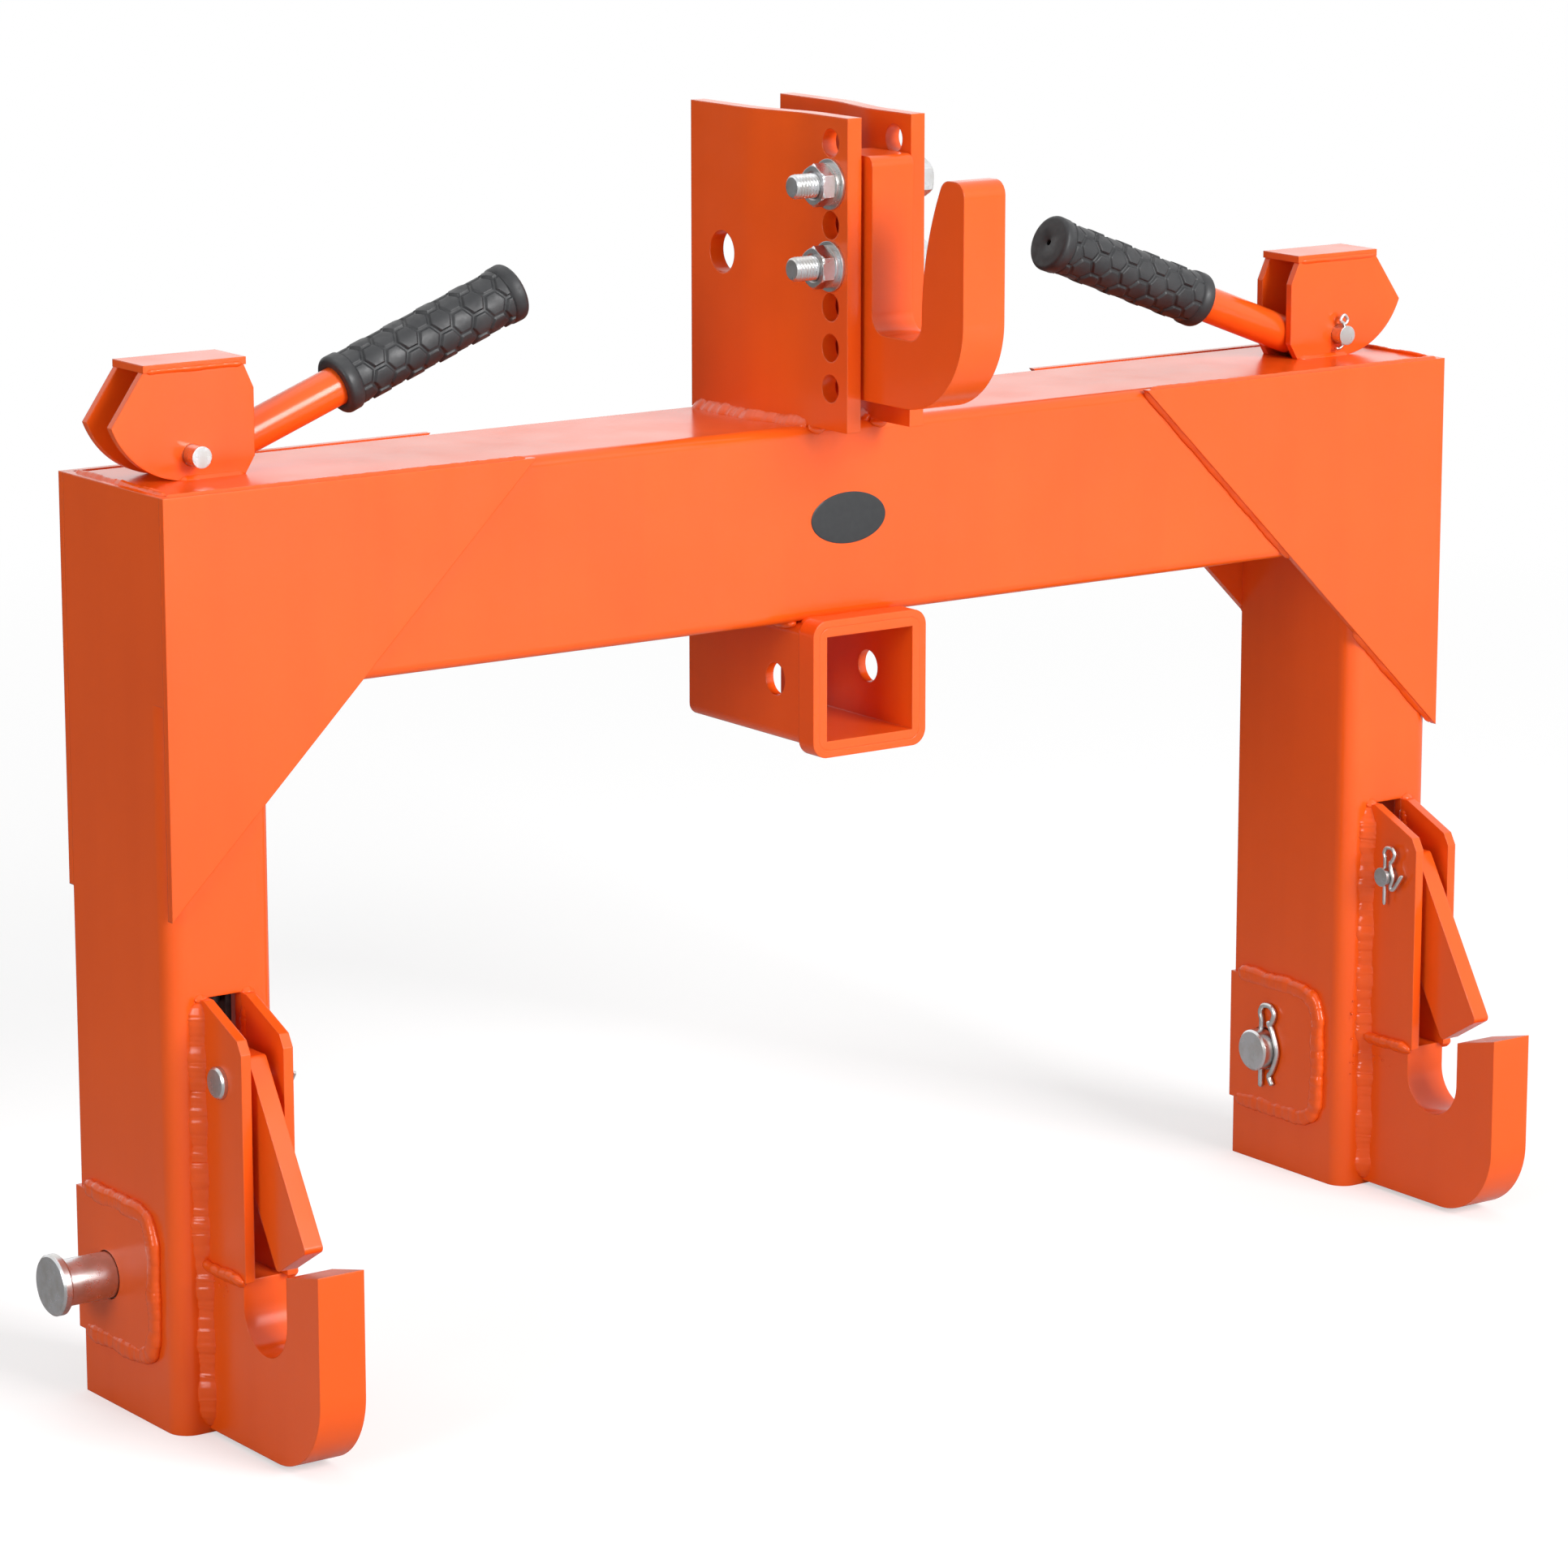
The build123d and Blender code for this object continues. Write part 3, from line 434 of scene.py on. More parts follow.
HOOK_BEAD = 7.0 * mm
HEEL_BEAD = 4.0 * mm
PAD_BEAD = 4.6 * mm
EDGE_BEAD = 2.0 * mm
RIM_BEAD = 1.3 * mm
MAST_BEAD = 5.4 * mm
COVER_BEAD = 2.2 * mm
CAP_BEAD = 1.54 * mm
RECEIVER_BEAD = 4.4 * mm
RECEIVER_END_BEAD = 3.96 * mm
INSET = 1.0 * mm
GUSSET_INSET = 1.2 * mm
PAD_CORNER = 12 * mm
PAD_BEND = 3.6 * mm
MAST_STEP_BACK = 39 * mm
MAST_STEP_FRONT = 6 * mm
MAST_THICK = 8 * mm
COVER_FOOT = (6 * mm, 39 * mm)
GUARD_TOP = 4.5 * mm


def hook_welds(side_name, side, seed):
    """Beads up both sides of the hook and its guards, and along the guards' feet."""
    hook_low, hook_high = corners("lower_hook_right")
    for place, towards in (("outer", 1), ("inner", -1)):
        guard_low, guard_high = corners(f"latch_guard_{place}_right")
        guard_x = guard_high[0] if towards > 0 else guard_low[0]
        hook_x = hook_high[0] if towards > 0 else hook_low[0]
        web_y = guard_high[1]
        foot_z = guard_low[2]
        seam = [(guard_x, web_y, guard_high[2] - INSET), (guard_x, web_y, foot_z + INSET * 3),
                (hook_x, web_y, foot_z - INSET * 3), (hook_x, web_y, hook_low[2] + INSET)]
        foot = [(guard_x, web_y, foot_z), (guard_x, guard_low[1] + INSET, foot_z)]
        outward = (towards * side, -1, 0)
        weld(f"weld_hook_{place}_{side_name}", mirrored([seam], side), HOOK_BEAD, seed, outward, INSET * 2)
        outward = (towards * side, 0, -1)
        weld(f"weld_guard_foot_{place}_{side_name}", mirrored([foot], side), HEEL_BEAD, seed + 3, outward)
        top = [(guard_x - towards * GUARD_TOP, web_y, guard_high[2]),
               (guard_x + towards * INSET * 2, web_y, guard_high[2])]
        outward = (0, -1, 1)
        weld(f"weld_guard_top_{place}_{side_name}", mirrored([top], side), HEEL_BEAD, seed + 5, outward)
        seed += 7


SPATTER_SIZE = 0.6 * mm

# The nearest and the farthest drop from a guard, and the height of the patch over and under its foot
SPATTER_REACH = (6 * mm, 9.5 * mm)
SPATTER_RISE = 20 * mm

# On the hook, how far forward and how far down the drops go, in farthest reaches
HOOK_REACH = (2, 1.5)
SPATTER_RANGE = (0.5, 1.3)
LEG_DROPS = 9
HOOK_DROPS = 7
DROP_RINGS = 7
DROP_ROUND = 10
DROP_POLE = 0.12


def drop(centre, size):
    """A round drop: rings of radius size * sin a at a height of size * cos a, where a is the angle
    from its pole."""
    angle = np.linspace(DROP_POLE, math.pi - DROP_POLE, DROP_RINGS)
    t = np.linspace(0, 2 * math.pi, DROP_ROUND, endpoint=False)
    ring = np.stack([np.cos(t), np.sin(t), 0 * t], axis=1)
    rings = np.sin(angle)[:, None, None] * ring[None] + np.cos(angle)[:, None, None] * np.array([0, 0, 1])
    return rings_to_mesh(np.array(centre) + size * rings)


def spatter(name, low, high, count, side, seed):
    """Drops of weld metal sunk by half into a face, scattered between two corners."""
    random = np.random.default_rng(seed)
    centres = random.uniform(low, high, (count, 3)) * (side, 1, 1)
    sizes = SPATTER_SIZE * random.uniform(*SPATTER_RANGE, count)
    drops = [drop(centre, size) for centre, size in zip(centres, sizes)]
    piece(name, drops, WELD_PAINT, "frame", BEAD_SHARP)


def hook_spatter(side_name, side, seed):
    """Spatter round the feet of the guards: on the leg's front and on the hook's sides."""
    hook_low, hook_high = corners("lower_hook_right")
    near, far = SPATTER_REACH
    forward, down = HOOK_REACH
    low, high = corners("latch_guard_inner_right")
    foot = low[2]
    spatter(f"spatter_leg_{side_name}", (low[0] - far, high[1], foot - SPATTER_RISE),
            (low[0] - near, high[1], foot + SPATTER_RISE), LEG_DROPS, side, seed)
    for place, x in (("outer", hook_high[0]), ("inner", hook_low[0])):
        spatter(f"spatter_{place}_{side_name}", (x, high[1] - far * forward, foot - far * down),
                (x, high[1] - near, foot - near), HOOK_DROPS, side, seed + 1)
        seed += 1


def pad_welds(side_name, side, seed):
    """Beads round the three free edges of both doubler plates on a leg."""
    for place, towards in (("outer", 1), ("inner", -1)):
        low, high = corners(f"leg_pad_{place}_right")
        x = low[0] if towards > 0 else high[0]
        x += towards * INSET
        cut, bend = PAD_CORNER, PAD_BEND
        seam = [(x, high[1] - INSET * 4, low[2]), (x, low[1] + cut, low[2]),
                (x, low[1] + bend, low[2] + bend), (x, low[1], low[2] + cut),
                (x, low[1], high[2] - cut), (x, low[1] + bend, high[2] - bend),
                (x, low[1] + cut, high[2]), (x, high[1] - INSET * 4, high[2])]
        outward = (towards * side, 0, 0)
        weld(f"weld_pad_{place}_{side_name}", mirrored([seam], side), PAD_BEAD, seed, outward, INSET * 3)
        seed += 5


def gusset_welds(side_name, side, seed):
    """Thin beads along the sloping and outer edges of both gussets and the top of the front one."""
    for place, towards in (("front", -1), ("back", 1)):
        low, high = corners(f"gusset_{place}_right")
        y = high[1] if towards < 0 else low[1]
        y += towards * GUSSET_INSET
        beam_low = corners("crossbeam")[0]
        leg_low = corners("leg_right")[0]
        slope = (high[2] - low[2]) / (high[0] - low[0])
        at_beam = (high[0] - (beam_low[2] - low[2]) / slope, y, beam_low[2])
        at_leg = (leg_low[0], y, low[2] + (high[0] - leg_low[0]) * slope)
        seams = [[(low[0] + INSET, y, high[2] - INSET), at_beam],
                 [at_leg, (high[0] - INSET, y, low[2] + INSET)]]
        outward = (-side, towards, -1)
        weld(f"weld_gusset_slope_{place}_{side_name}", mirrored(seams, side), EDGE_BEAD, seed, outward)
        if towards < 0:
            z = high[2] - INSET / 2
            seams = [[(low[0] + INSET * 4, y, z), (high[0] - INSET * 3, y, z)]]
            outward = (0, towards, 1)
            weld(f"weld_gusset_top_{side_name}", mirrored(seams, side), EDGE_BEAD, seed + 3, outward)
        seams = [[(high[0] - INSET, y, high[2] - INSET * 3), (high[0] - INSET, y, low[2] + INSET * 3)]]
        outward = (side, towards, 0)
        weld(f"weld_gusset_side_{place}_{side_name}", mirrored(seams, side), RIM_BEAD, seed + 4, outward)
        seed += 9


def mast_welds(side_name, side, seed):
    """Beads along the foot of a mast plate, outside and inside, following its step."""
    low, high = corners("mast_plate_right")
    beam_low, beam_high = corners("crossbeam")
    z = beam_high[2]
    step_back = beam_low[1] + MAST_STEP_BACK
    step_front = beam_low[1] + MAST_STEP_FRONT
    outer = [(high[0], beam_high[1] - INSET * 2, z), (high[0], step_back, z),
             (low[0] + MAST_THICK, step_front, z), (low[0] + MAST_THICK, beam_low[1] + INSET * 2, z)]
    inner = [(low[0], beam_low[1] + INSET * 2, z), (low[0], step_front, z),
             (high[0] - MAST_THICK, step_back, z), (high[0] - MAST_THICK, beam_high[1] - INSET * 2, z)]
    for name, seam, towards in (("outer", outer, 1), ("inner", inner, -1)):
        outward = (side * towards, 0, 1)
        weld(f"weld_mast_{name}_{side_name}", mirrored([seam], side), MAST_BEAD, seed, outward, INSET * 3)
        seed += 2
    front = [(low[0] - INSET, beam_low[1] + INSET / 2, z - INSET),
             (low[0] + MAST_THICK + INSET, beam_low[1] + INSET / 2, z - INSET)]
    weld(f"weld_mast_front_{side_name}", mirrored([front], side), HEEL_BEAD, seed, (0, -1, 1))


def cover_welds(side_name, side, seed):
    """Beads along the feet of the lever's cover plates and under both edges of their cap."""
    cap_low, cap_high = corners("lever_cover_cap_right")
    z = corners("crossbeam")[1][2]
    for place, towards in (("front", -1), ("back", 1)):
        low, high = corners(f"lever_cover_{place}_right")
        y = low[1] if towards < 0 else high[1]
        foot = [(low[0] + along, y, z) for along in COVER_FOOT]
        name = f"weld_cover_foot_{place}_{side_name}"
        weld(name, mirrored([foot], side), COVER_BEAD, seed, (0, towards, 1))
        cap_z = cap_low[2] + INSET * 0.3
        cap_edge = [(cap_low[0] + INSET * 2, y, cap_z), (cap_high[0] - INSET * 2, y, cap_z)]
        name = f"weld_cap_{place}_{side_name}"
        weld(name, mirrored([cap_edge], side), CAP_BEAD, seed + 2, (0, towards, -1))
        seed += 5


RECEIVER_SEEDS = (501, 510, 520)
COLLAR_FACING = (0, 1, 0.2)


def receiver_welds():
    """Beads between the receiver and the beam, and round the collar's rear edge."""
    tube_low, tube_high = corners("receiver_tube")
    beam_low, beam_high = corners("crossbeam")
    z = beam_low[2]
    inset = INSET * 3
    seams = [[(x, beam_low[1] + inset, z - INSET), (x, beam_high[1] - inset, z - INSET)]
             for x in (tube_low[0], tube_high[0])]
    side_seed, end_seed, collar_seed = RECEIVER_SEEDS
    weld("weld_receiver_sides", seams, RECEIVER_BEAD, side_seed, (0, 0, -1))
    for name, y in (("front", beam_low[1]), ("back", beam_high[1])):
        seam = [(tube_low[0] + inset, y, z), (tube_high[0] - inset, y, z)]
        weld(f"weld_receiver_{name}", [seam], RECEIVER_END_BEAD, end_seed, (0, 0, -1))
    y = corners("receiver_collar")[1][1]
    half = tube_high[0] - INSET * 2
    low_z = tube_low[2]
    seams = [[(-half, y, low_z), (half, y, low_z)],
             [(tube_low[0], y, low_z + inset), (tube_low[0], y, z - inset)],
             [(tube_high[0], y, low_z + inset), (tube_high[0], y, z - inset)]]
    weld("weld_collar", seams, COVER_BEAD, collar_seed, COLLAR_FACING)


def beam_end_welds(side_name, side, seed):
    """Beads along the top of the leg's flange where it closes the beam, and under the beam."""
    beam_low, beam_high = corners("crossbeam")
    x = beam_high[0]
    z = beam_high[2] - INSET * 0.4
    seam = [(x, beam_low[1] + INSET * 3, z), (x, beam_high[1] - INSET * 3, z)]
    weld(f"weld_beam_end_{side_name}", mirrored([seam], side), COVER_BEAD, seed, (side, 0, 1))
    x, z = corners("leg_right")[0][0], beam_low[2]
    seam = [(x, beam_low[1] + INSET * 8, z), (x, beam_high[1] - INSET * 3, z)]
    weld(f"weld_beam_under_{side_name}", mirrored([seam], side), MAST_BEAD, seed + 2, (-side, 0, -1))


WELD_SEEDS = {"right": 1000, "left": 2000}
WELD_ROUNDS = (
    (hook_welds, 0), (hook_spatter, 50), (pad_welds, 100), (gusset_welds, 200), (mast_welds, 300),
    (cover_welds, 400), (beam_end_welds, 500),
)
for side_name, side in SIDES.items():
    for make, further in WELD_ROUNDS:
        make(side_name, side, WELD_SEEDS[side_name] + further)
receiver_welds()


# Rubber grips

LEVER_RISE = math.radians(20.7)
LEVER_DROP = 8.5 * mm
TUBE_END = 186 * mm
GRIP_START = 86 * mm
GRIP_END = 190 * mm
GRIP_BORE = 9.3 * mm
GRIP_SKIN = 12.4 * mm
GRIP_COLLAR = 14.25 * mm
COLLAR_LENGTH = 8 * mm
COLLAR_EDGE = 2.2 * mm
VENT = 1.5 * mm
CELL_ROWS = 7
HIGH_CELL = 1.25 * mm
LOW_CELL = 0.8 * mm
GROOVE = 0.55 * mm
CELL_EDGE = 0.6 * mm
GRIP_ROUND = 216
GRIP_SHARP = 50
QUARTER_POINTS = 7
BODY_STEP = 0.42 * mm

# Depth of the bore's mouth, and the length and rise of its chamfer
MOUTH_DEPTH = 6 * mm
MOUTH_CHAMFER = (0.5 * mm, 0.6 * mm)

# Where a collar falls to the body: how far short of the collar's end, and the radius there
COLLAR_STEP = ((1.4 * mm, GRIP_COLLAR - 0.1 * mm), (0.4 * mm, GRIP_SKIN + 0.6 * mm))

# Where the flat end face has a ring, in collar radii, the length and rise of the vent's chamfer, and
# how far short of the tube's end the vent stops
CAP_SHARE = 0.6
VENT_CHAMFER = (0.4 * mm, 0.5 * mm)
VENT_PAST = 0.4 * mm


def ease(x):
    """A step from 0 to 1 with soft ends."""
    x = np.clip(x, 0, 1)
    return x * x * (3 - 2 * x)


def cell_relief(along, round_, pitch):
    """The height of raised hexagons at a place along and round the grip.

    Two staggered lattices hold the cells' middles. The nearer middle owns the place, and the
    height rises from the groove at the cell's border to a flat top, lower in every second row.
    """
    row = pitch * math.sqrt(3)
    reach = []
    for shift in (0, 0.5):
        a = np.abs((along / row + shift + 0.5) % 1 - 0.5) * row
        b = np.abs((round_ / pitch + shift + 0.5) % 1 - 0.5) * pitch
        reach.append(np.maximum(b, a * math.sqrt(3) / 2 + b / 2))
    high = ease((pitch / 2 - GROOVE - reach[0]) / CELL_EDGE) * HIGH_CELL
    low = ease((pitch / 2 - GROOVE - reach[1]) / CELL_EDGE) * LOW_CELL
    return np.maximum(high, low)


def grip_profile():
    """The grip's profile as pairs of place along the lever and radius, and the body's first and last.

    It runs from inside the bore over its mouth, up a quarter round to the first collar, down to the
    body, and back the same way over the second collar to the vent in the end.
    """
    start, end, edge = GRIP_START, GRIP_END, COLLAR_EDGE
    quarter = np.linspace(0, math.pi / 2, QUARTER_POINTS)
    mouth_length, mouth_rise = MOUTH_CHAMFER
    vent_length, vent_rise = VENT_CHAMFER
    profile = [(start + MOUTH_DEPTH, GRIP_BORE), (start + mouth_length, GRIP_BORE),
               (start, GRIP_BORE + mouth_rise)]
    profile += [(start + edge * (1 - math.cos(q)), GRIP_COLLAR - edge * (1 - math.sin(q))) for q in quarter]
    profile += [(start + COLLAR_LENGTH - short, radius) for short, radius in COLLAR_STEP]
    first = len(profile)
    profile += [(s, GRIP_SKIN) for s in np.arange(start + COLLAR_LENGTH, end - COLLAR_LENGTH, BODY_STEP)]
    last = len(profile)
    profile += [(end - COLLAR_LENGTH + short, radius) for short, radius in reversed(COLLAR_STEP)]
    profile += [(end - edge * (1 - math.sin(q)), GRIP_COLLAR - edge * (1 - math.cos(q))) for q in quarter]
    profile += [(end, GRIP_COLLAR * CAP_SHARE), (end, VENT + vent_rise), (end - vent_length, VENT),
                (TUBE_END + VENT_PAST, VENT)]
    return np.array(profile), first, last


def grip(side_name, side):
    """The grip: its profile turned round the lever's axis, with hexagons raised between the collars."""
    pivot = middle(f"lever_pin_{side_name}")
    pivot[1] = middle(f"lever_tube_{side_name}")[1]
    ahead = np.array([-side * math.cos(LEVER_RISE), 0, math.sin(LEVER_RISE)])
    upward = np.array([side * math.sin(LEVER_RISE), 0, math.cos(LEVER_RISE)])
    foot = pivot - upward * LEVER_DROP
    profile, first, last = grip_profile()
    t = np.linspace(0, 2 * math.pi, GRIP_ROUND, endpoint=False)
    radius = np.repeat(profile[:, 1:], GRIP_ROUND, axis=1)
    pitch = 2 * math.pi * GRIP_SKIN / CELL_ROWS
    along = profile[first:last, 0][:, None] - GRIP_START + 0 * t[None]
    round_ = t[None] * GRIP_SKIN + 0 * along
    radius[first:last] += cell_relief(along, round_, pitch)
    ring = np.cos(t)[:, None] * upward + np.sin(t)[:, None] * np.array([0, 1, 0])
    rings = foot + profile[:, 0][:, None, None] * ahead + radius[:, :, None] * ring[None]
    skin = rings_to_mesh(rings)
    made = piece(f"grip_{side_name}", [skin], RUBBER, f"lever_{side_name}", GRIP_SHARP)
    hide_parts(f"lever_grip_{side_name}")


for side_name, side in SIDES.items():
    grip(side_name, side)


# Bolts and nuts

THREAD_PITCH = 1.75 * mm
THREAD_DEPTH = 0.95 * mm
BOLT_RADIUS = 5.95 * mm
SHANK = 30 * mm
HEAD_LENGTH = 7.5 * mm
HEX_HALF = 9 * mm
HEX_SLOPE = math.tan(math.radians(30))
FASTENER_ROUND = 96
BOLT_SHARP = 35
NUT_SHARP = 30
THREAD_STEPS = 7
TIP_DEPTH = 1.3
BOLT_CHAMFER = 1.2 * mm
HEX_CORNER = 1.03
HEAD_FACE = 0.9

# How far under its seat the head's cone starts, so that only the outer end is chamfered
HEAD_UNDER = 4 * mm

# Depth of the nut's mouth, how much wider than the bolt it is, and the gap round the thread
NUT_MOUTH = 0.8 * mm
NUT_LIP = 0.9 * mm
THREAD_GAP = 0.02 * mm
NUT_RINGS = 12


def hex_radius(t, x, low, high):
    """The radius of a chamfered hexagon: the flat's distance over the cosine of the angle from it,
    but no more than a cone that comes in towards either end."""
    flat = HEX_HALF / np.cos((t + math.pi / 6) % (math.pi / 3) - math.pi / 6)
    cone = HEX_HALF * HEX_CORNER + np.minimum(x - low, high - x) / HEX_SLOPE
    return np.minimum(flat, cone)


def turned_x(centre, xs, radius):
    """Rings round an axis along X, from their places and their radii (along, round)."""
    t = np.linspace(0, 2 * math.pi, radius.shape[1], endpoint=False)
    ring = np.stack([0 * t, np.cos(t), np.sin(t)], axis=1)
    places = np.stack([xs, np.full(len(xs), centre[1]), np.full(len(xs), centre[2])], axis=1)
    return places[:, None] + radius[:, :, None] * ring[None]


def threaded_bolt(y, z, tail, seat, head_end):
    """A bolt from its threaded tail to its head: a helix whose radius falls by a triangle wave of
    x over the pitch less the turn, a plain shank, and a chamfered hexagon."""
    t = np.linspace(0, 2 * math.pi, FASTENER_ROUND, endpoint=False)
    thread_end = seat - SHANK
    xs = np.arange(tail, thread_end, THREAD_PITCH / THREAD_STEPS)
    phase = (xs[:, None] / THREAD_PITCH - t[None] / (2 * math.pi)) % 1
    depth = THREAD_DEPTH * np.abs(2 * phase - 1)
    tip = THREAD_DEPTH * TIP_DEPTH * (1 - ease((xs - tail) / BOLT_CHAMFER))
    thread = BOLT_RADIUS - np.maximum(depth, tip[:, None])
    shank_x = np.array([thread_end + THREAD_PITCH, seat])
    shank = np.full((2, FASTENER_ROUND), BOLT_RADIUS)
    head_x = np.concatenate([np.linspace(seat, seat + BOLT_CHAMFER, 3),
                             np.linspace(head_end - BOLT_CHAMFER, head_end, 4)])
    head = hex_radius(t[None], head_x[:, None], seat - HEAD_UNDER, head_end)
    head_top = np.full((1, FASTENER_ROUND), HEX_HALF * HEAD_FACE)
    xs = np.concatenate([xs, shank_x, head_x, [head_end]])
    radius = np.vstack([thread, shank, head, head_top])
    return rings_to_mesh(turned_x((0, y, z), xs, radius))


def plain_nut(y, z, outer, seat):
    """A nut: a hexagon chamfered at both ends, with a mouth that comes in to the bolt's thread."""
    t = np.linspace(0, 2 * math.pi, FASTENER_ROUND, endpoint=False)
    xs = np.linspace(outer, seat, NUT_RINGS)
    skin = hex_radius(t[None], xs[:, None], outer, seat)
    lip = np.full((1, FASTENER_ROUND), BOLT_RADIUS + NUT_LIP)
    bore = np.full((1, FASTENER_ROUND), BOLT_RADIUS + THREAD_GAP)
    xs = np.concatenate([[outer + NUT_MOUTH, outer], xs, [seat]])
    return rings_to_mesh(turned_x((0, y, z), xs, np.vstack([bore, lip, skin, bore])))


def fasteners():
    """The two bolts with threads and chamfered heads, and their nuts."""
    low, high = corners("hook_bolts")
    nut_low, nut_high = corners("hook_nuts")
    y = (low[1] + high[1]) / 2
    seat = high[0] - HEAD_LENGTH
    bolts, nuts = [], []
    for z in (low[2] + HEX_HALF, high[2] - HEX_HALF):
        bolts.append(threaded_bolt(y, z, low[0], seat, high[0]))
        nuts.append(plain_nut(y, z, nut_low[0], nut_high[0]))
    made = piece("bolts_threaded", bolts, ZINC, "frame", BOLT_SHARP)
    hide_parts("hook_bolts")
    made = piece("nuts_chamfered", nuts, ZINC, "frame", NUT_SHARP)
    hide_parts("hook_nuts")


fasteners()


# Wire clips

WIRE_ROUND = 14
WIRE_SHARP = 60
WIRE_STEPS = 9
WIRE_TIP = 0.6
CLIP_GAP = 0.25 * mm

# Places on a hairpin are steps back and up, so a step forward is below zero. The loop's are from the
# pin's middle and the clip's top, in half widths of the loop. The bend's, round the pin's front, are
# from the pin's middle, in distances from there to the wire. Between them the wire passes one place,
# back in half widths of the loop and up, past the bend's height, in wires.
LOOP = ((0, -1.9), (0.25, -1), (-0.2, -0.2), (-1, 0), (-1.8, -0.2), (-2.25, -1), (-1.7, -2.1))
BEND = ((-0.72, 0.8), (-1, 0), (-0.72, -0.8))
BEND_START = (-1.3, 0.8)

# Pin radius, wire, rise over the pin, tail under it, width of the loop, and the outer leg's last two
# places from the pin's middle
LINK_HAIRPIN = (11 * mm, 3 * mm, 15 * mm, 10 * mm, 9 * mm,
                ((-6.8 * mm, -14 * mm), (-9.5 * mm, -18.5 * mm)))
LATCH_HAIRPIN = (5 * mm, 2.2 * mm, 12 * mm, 10 * mm, 6.5 * mm,
                 ((-7.2 * mm, -5.4 * mm), (-13.5 * mm, 3 * mm)))


def wire_piece(name, points, thickness, body, node, outward=(1, 0, 0)):
    """A round wire: circles along a smooth curve through points, smaller at both ends."""
    path = curve_through(points, WIRE_STEPS)
    radius = np.full((len(path), WIRE_ROUND), thickness / 2)
    radius[[0, -1]] *= WIRE_TIP
    skin = rings_to_mesh(carried(path, radius, WIRE_ROUND, outward))
    made = piece(name, [skin], ZINC, body, WIRE_SHARP)
    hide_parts(node)


def hairpin(name, centre, pin_radius, thickness, rise, tail, loop, ending, body, node):
    """A hairpin clip: up through the pin, round a loop, down round the pin's front and away."""
    x, y, z = centre
    half = loop / 2
    front = pin_radius + thickness / 2 + CLIP_GAP
    top = z + pin_radius + rise - thickness / 2
    start_back, start_up = BEND_START
    points = [(x, y, z - pin_radius - tail), (x, y, z - pin_radius), (x, y, z + pin_radius)]
    points += [(x, y + half * back, top + half * up) for back, up in LOOP]
    points.append((x, y + half * start_back, z + front + thickness * start_up))
    points += [(x, y + front * back, z + front * up) for back, up in BEND]
    points += [(x, y + back, z + up) for back, up in ending]
    wire_piece(name, points, thickness, body, node)


# A split pin: wire, reach over and under the pin's middle, and half the width of its eye
SPLIT_WIRE = 1.8 * mm
SPLIT_REACH = 5.6 * mm
SPLIT_EYE = 2.4 * mm

# Its tail, as steps inward and up from the reach's low end, its eye, as steps across and up from the
# reach's high end in half widths, and its other end, across in half widths and down
SPLIT_TAIL = ((5 * mm, -1.2 * mm), (2.2 * mm, -0.9 * mm), (0, 1.5 * mm))
SPLIT_ROUND = ((-1, 0.9), (0, 2), (1, 0.9))
SPLIT_END = (0.3, 0.2 * mm)


def split_pin(side_name, side):
    """The lever pin's split pin: bent over under the pin, up through it and round an eye."""
    x, _, z = middle(f"lever_pin_{side_name}")
    y = middle(f"lever_cotter_{side_name}")[1]
    up, eye = SPLIT_REACH, SPLIT_EYE
    end_across, end_down = SPLIT_END
    points = [(x - side * inward, y, z - up + above) for inward, above in SPLIT_TAIL]
    points += [(x, y, z), (x, y, z + up)]
    points += [(x + eye * across, y, z + up + eye * above) for across, above in SPLIT_ROUND]
    points.append((x + eye * end_across, y, z + up - end_down))
    name, node = f"split_pin_lever_{side_name}", f"lever_cotter_{side_name}"
    wire_piece(name, points, SPLIT_WIRE, "frame", node, (0, 1, 0))


def clips(side_name, side):
    """The link pin's and the latch pin's hairpins and the lever pin's split pin on one side."""
    x = middle(f"link_pin_clip_{side_name}")[0]
    _, y, z = middle(f"link_pin_{side_name}")
    hairpin(f"hairpin_link_{side_name}", (x, y, z), *LINK_HAIRPIN, f"draw_pin_{side_name}",
            f"link_pin_clip_{side_name}")
    x = middle(f"latch_cotter_{side_name}")[0]
    _, y, z = middle(f"latch_pin_{side_name}")
    hairpin(f"hairpin_latch_{side_name}", (x, y, z), *LATCH_HAIRPIN, "frame", f"latch_cotter_{side_name}")
    split_pin(side_name, side)


for side_name, side in SIDES.items():
    clips(side_name, side)


# Label

LABEL_HALF = (22 * mm, 12.5 * mm)
LABEL_DROP = 46.3 * mm
LABEL_ROUND = 96
LABEL_SHARP = 30

# The label's rings from its edge to its middle: share of its half widths, and height over the beam
LABEL_RINGS = ((1, -0.05 * mm), (1, 0.25 * mm), (0.99, 0.36 * mm), (0.965, 0.4 * mm), (0.7, 0.45 * mm),
               (0.35, 0.48 * mm), (0.05, 0.5 * mm))


def label():
    """A blank oval: rings of an ellipse from the beam's face to a slightly domed front."""
    low, high = corners("crossbeam")
    t = np.linspace(0, 2 * math.pi, LABEL_ROUND, endpoint=False)
    shares, lifts = np.array(LABEL_RINGS).T
    across = shares[:, None] * LABEL_HALF[0] * np.cos(t)[None]
    upward = shares[:, None] * LABEL_HALF[1] * np.sin(t)[None] + high[2] - LABEL_DROP
    outward = low[1] - lifts[:, None] + 0 * across
    rings = np.stack([across, outward, upward], axis=-1)
    piece("oval_label", [rings_to_mesh(rings)], FILM, "frame", LABEL_SHARP)


label()


# Frame finishes

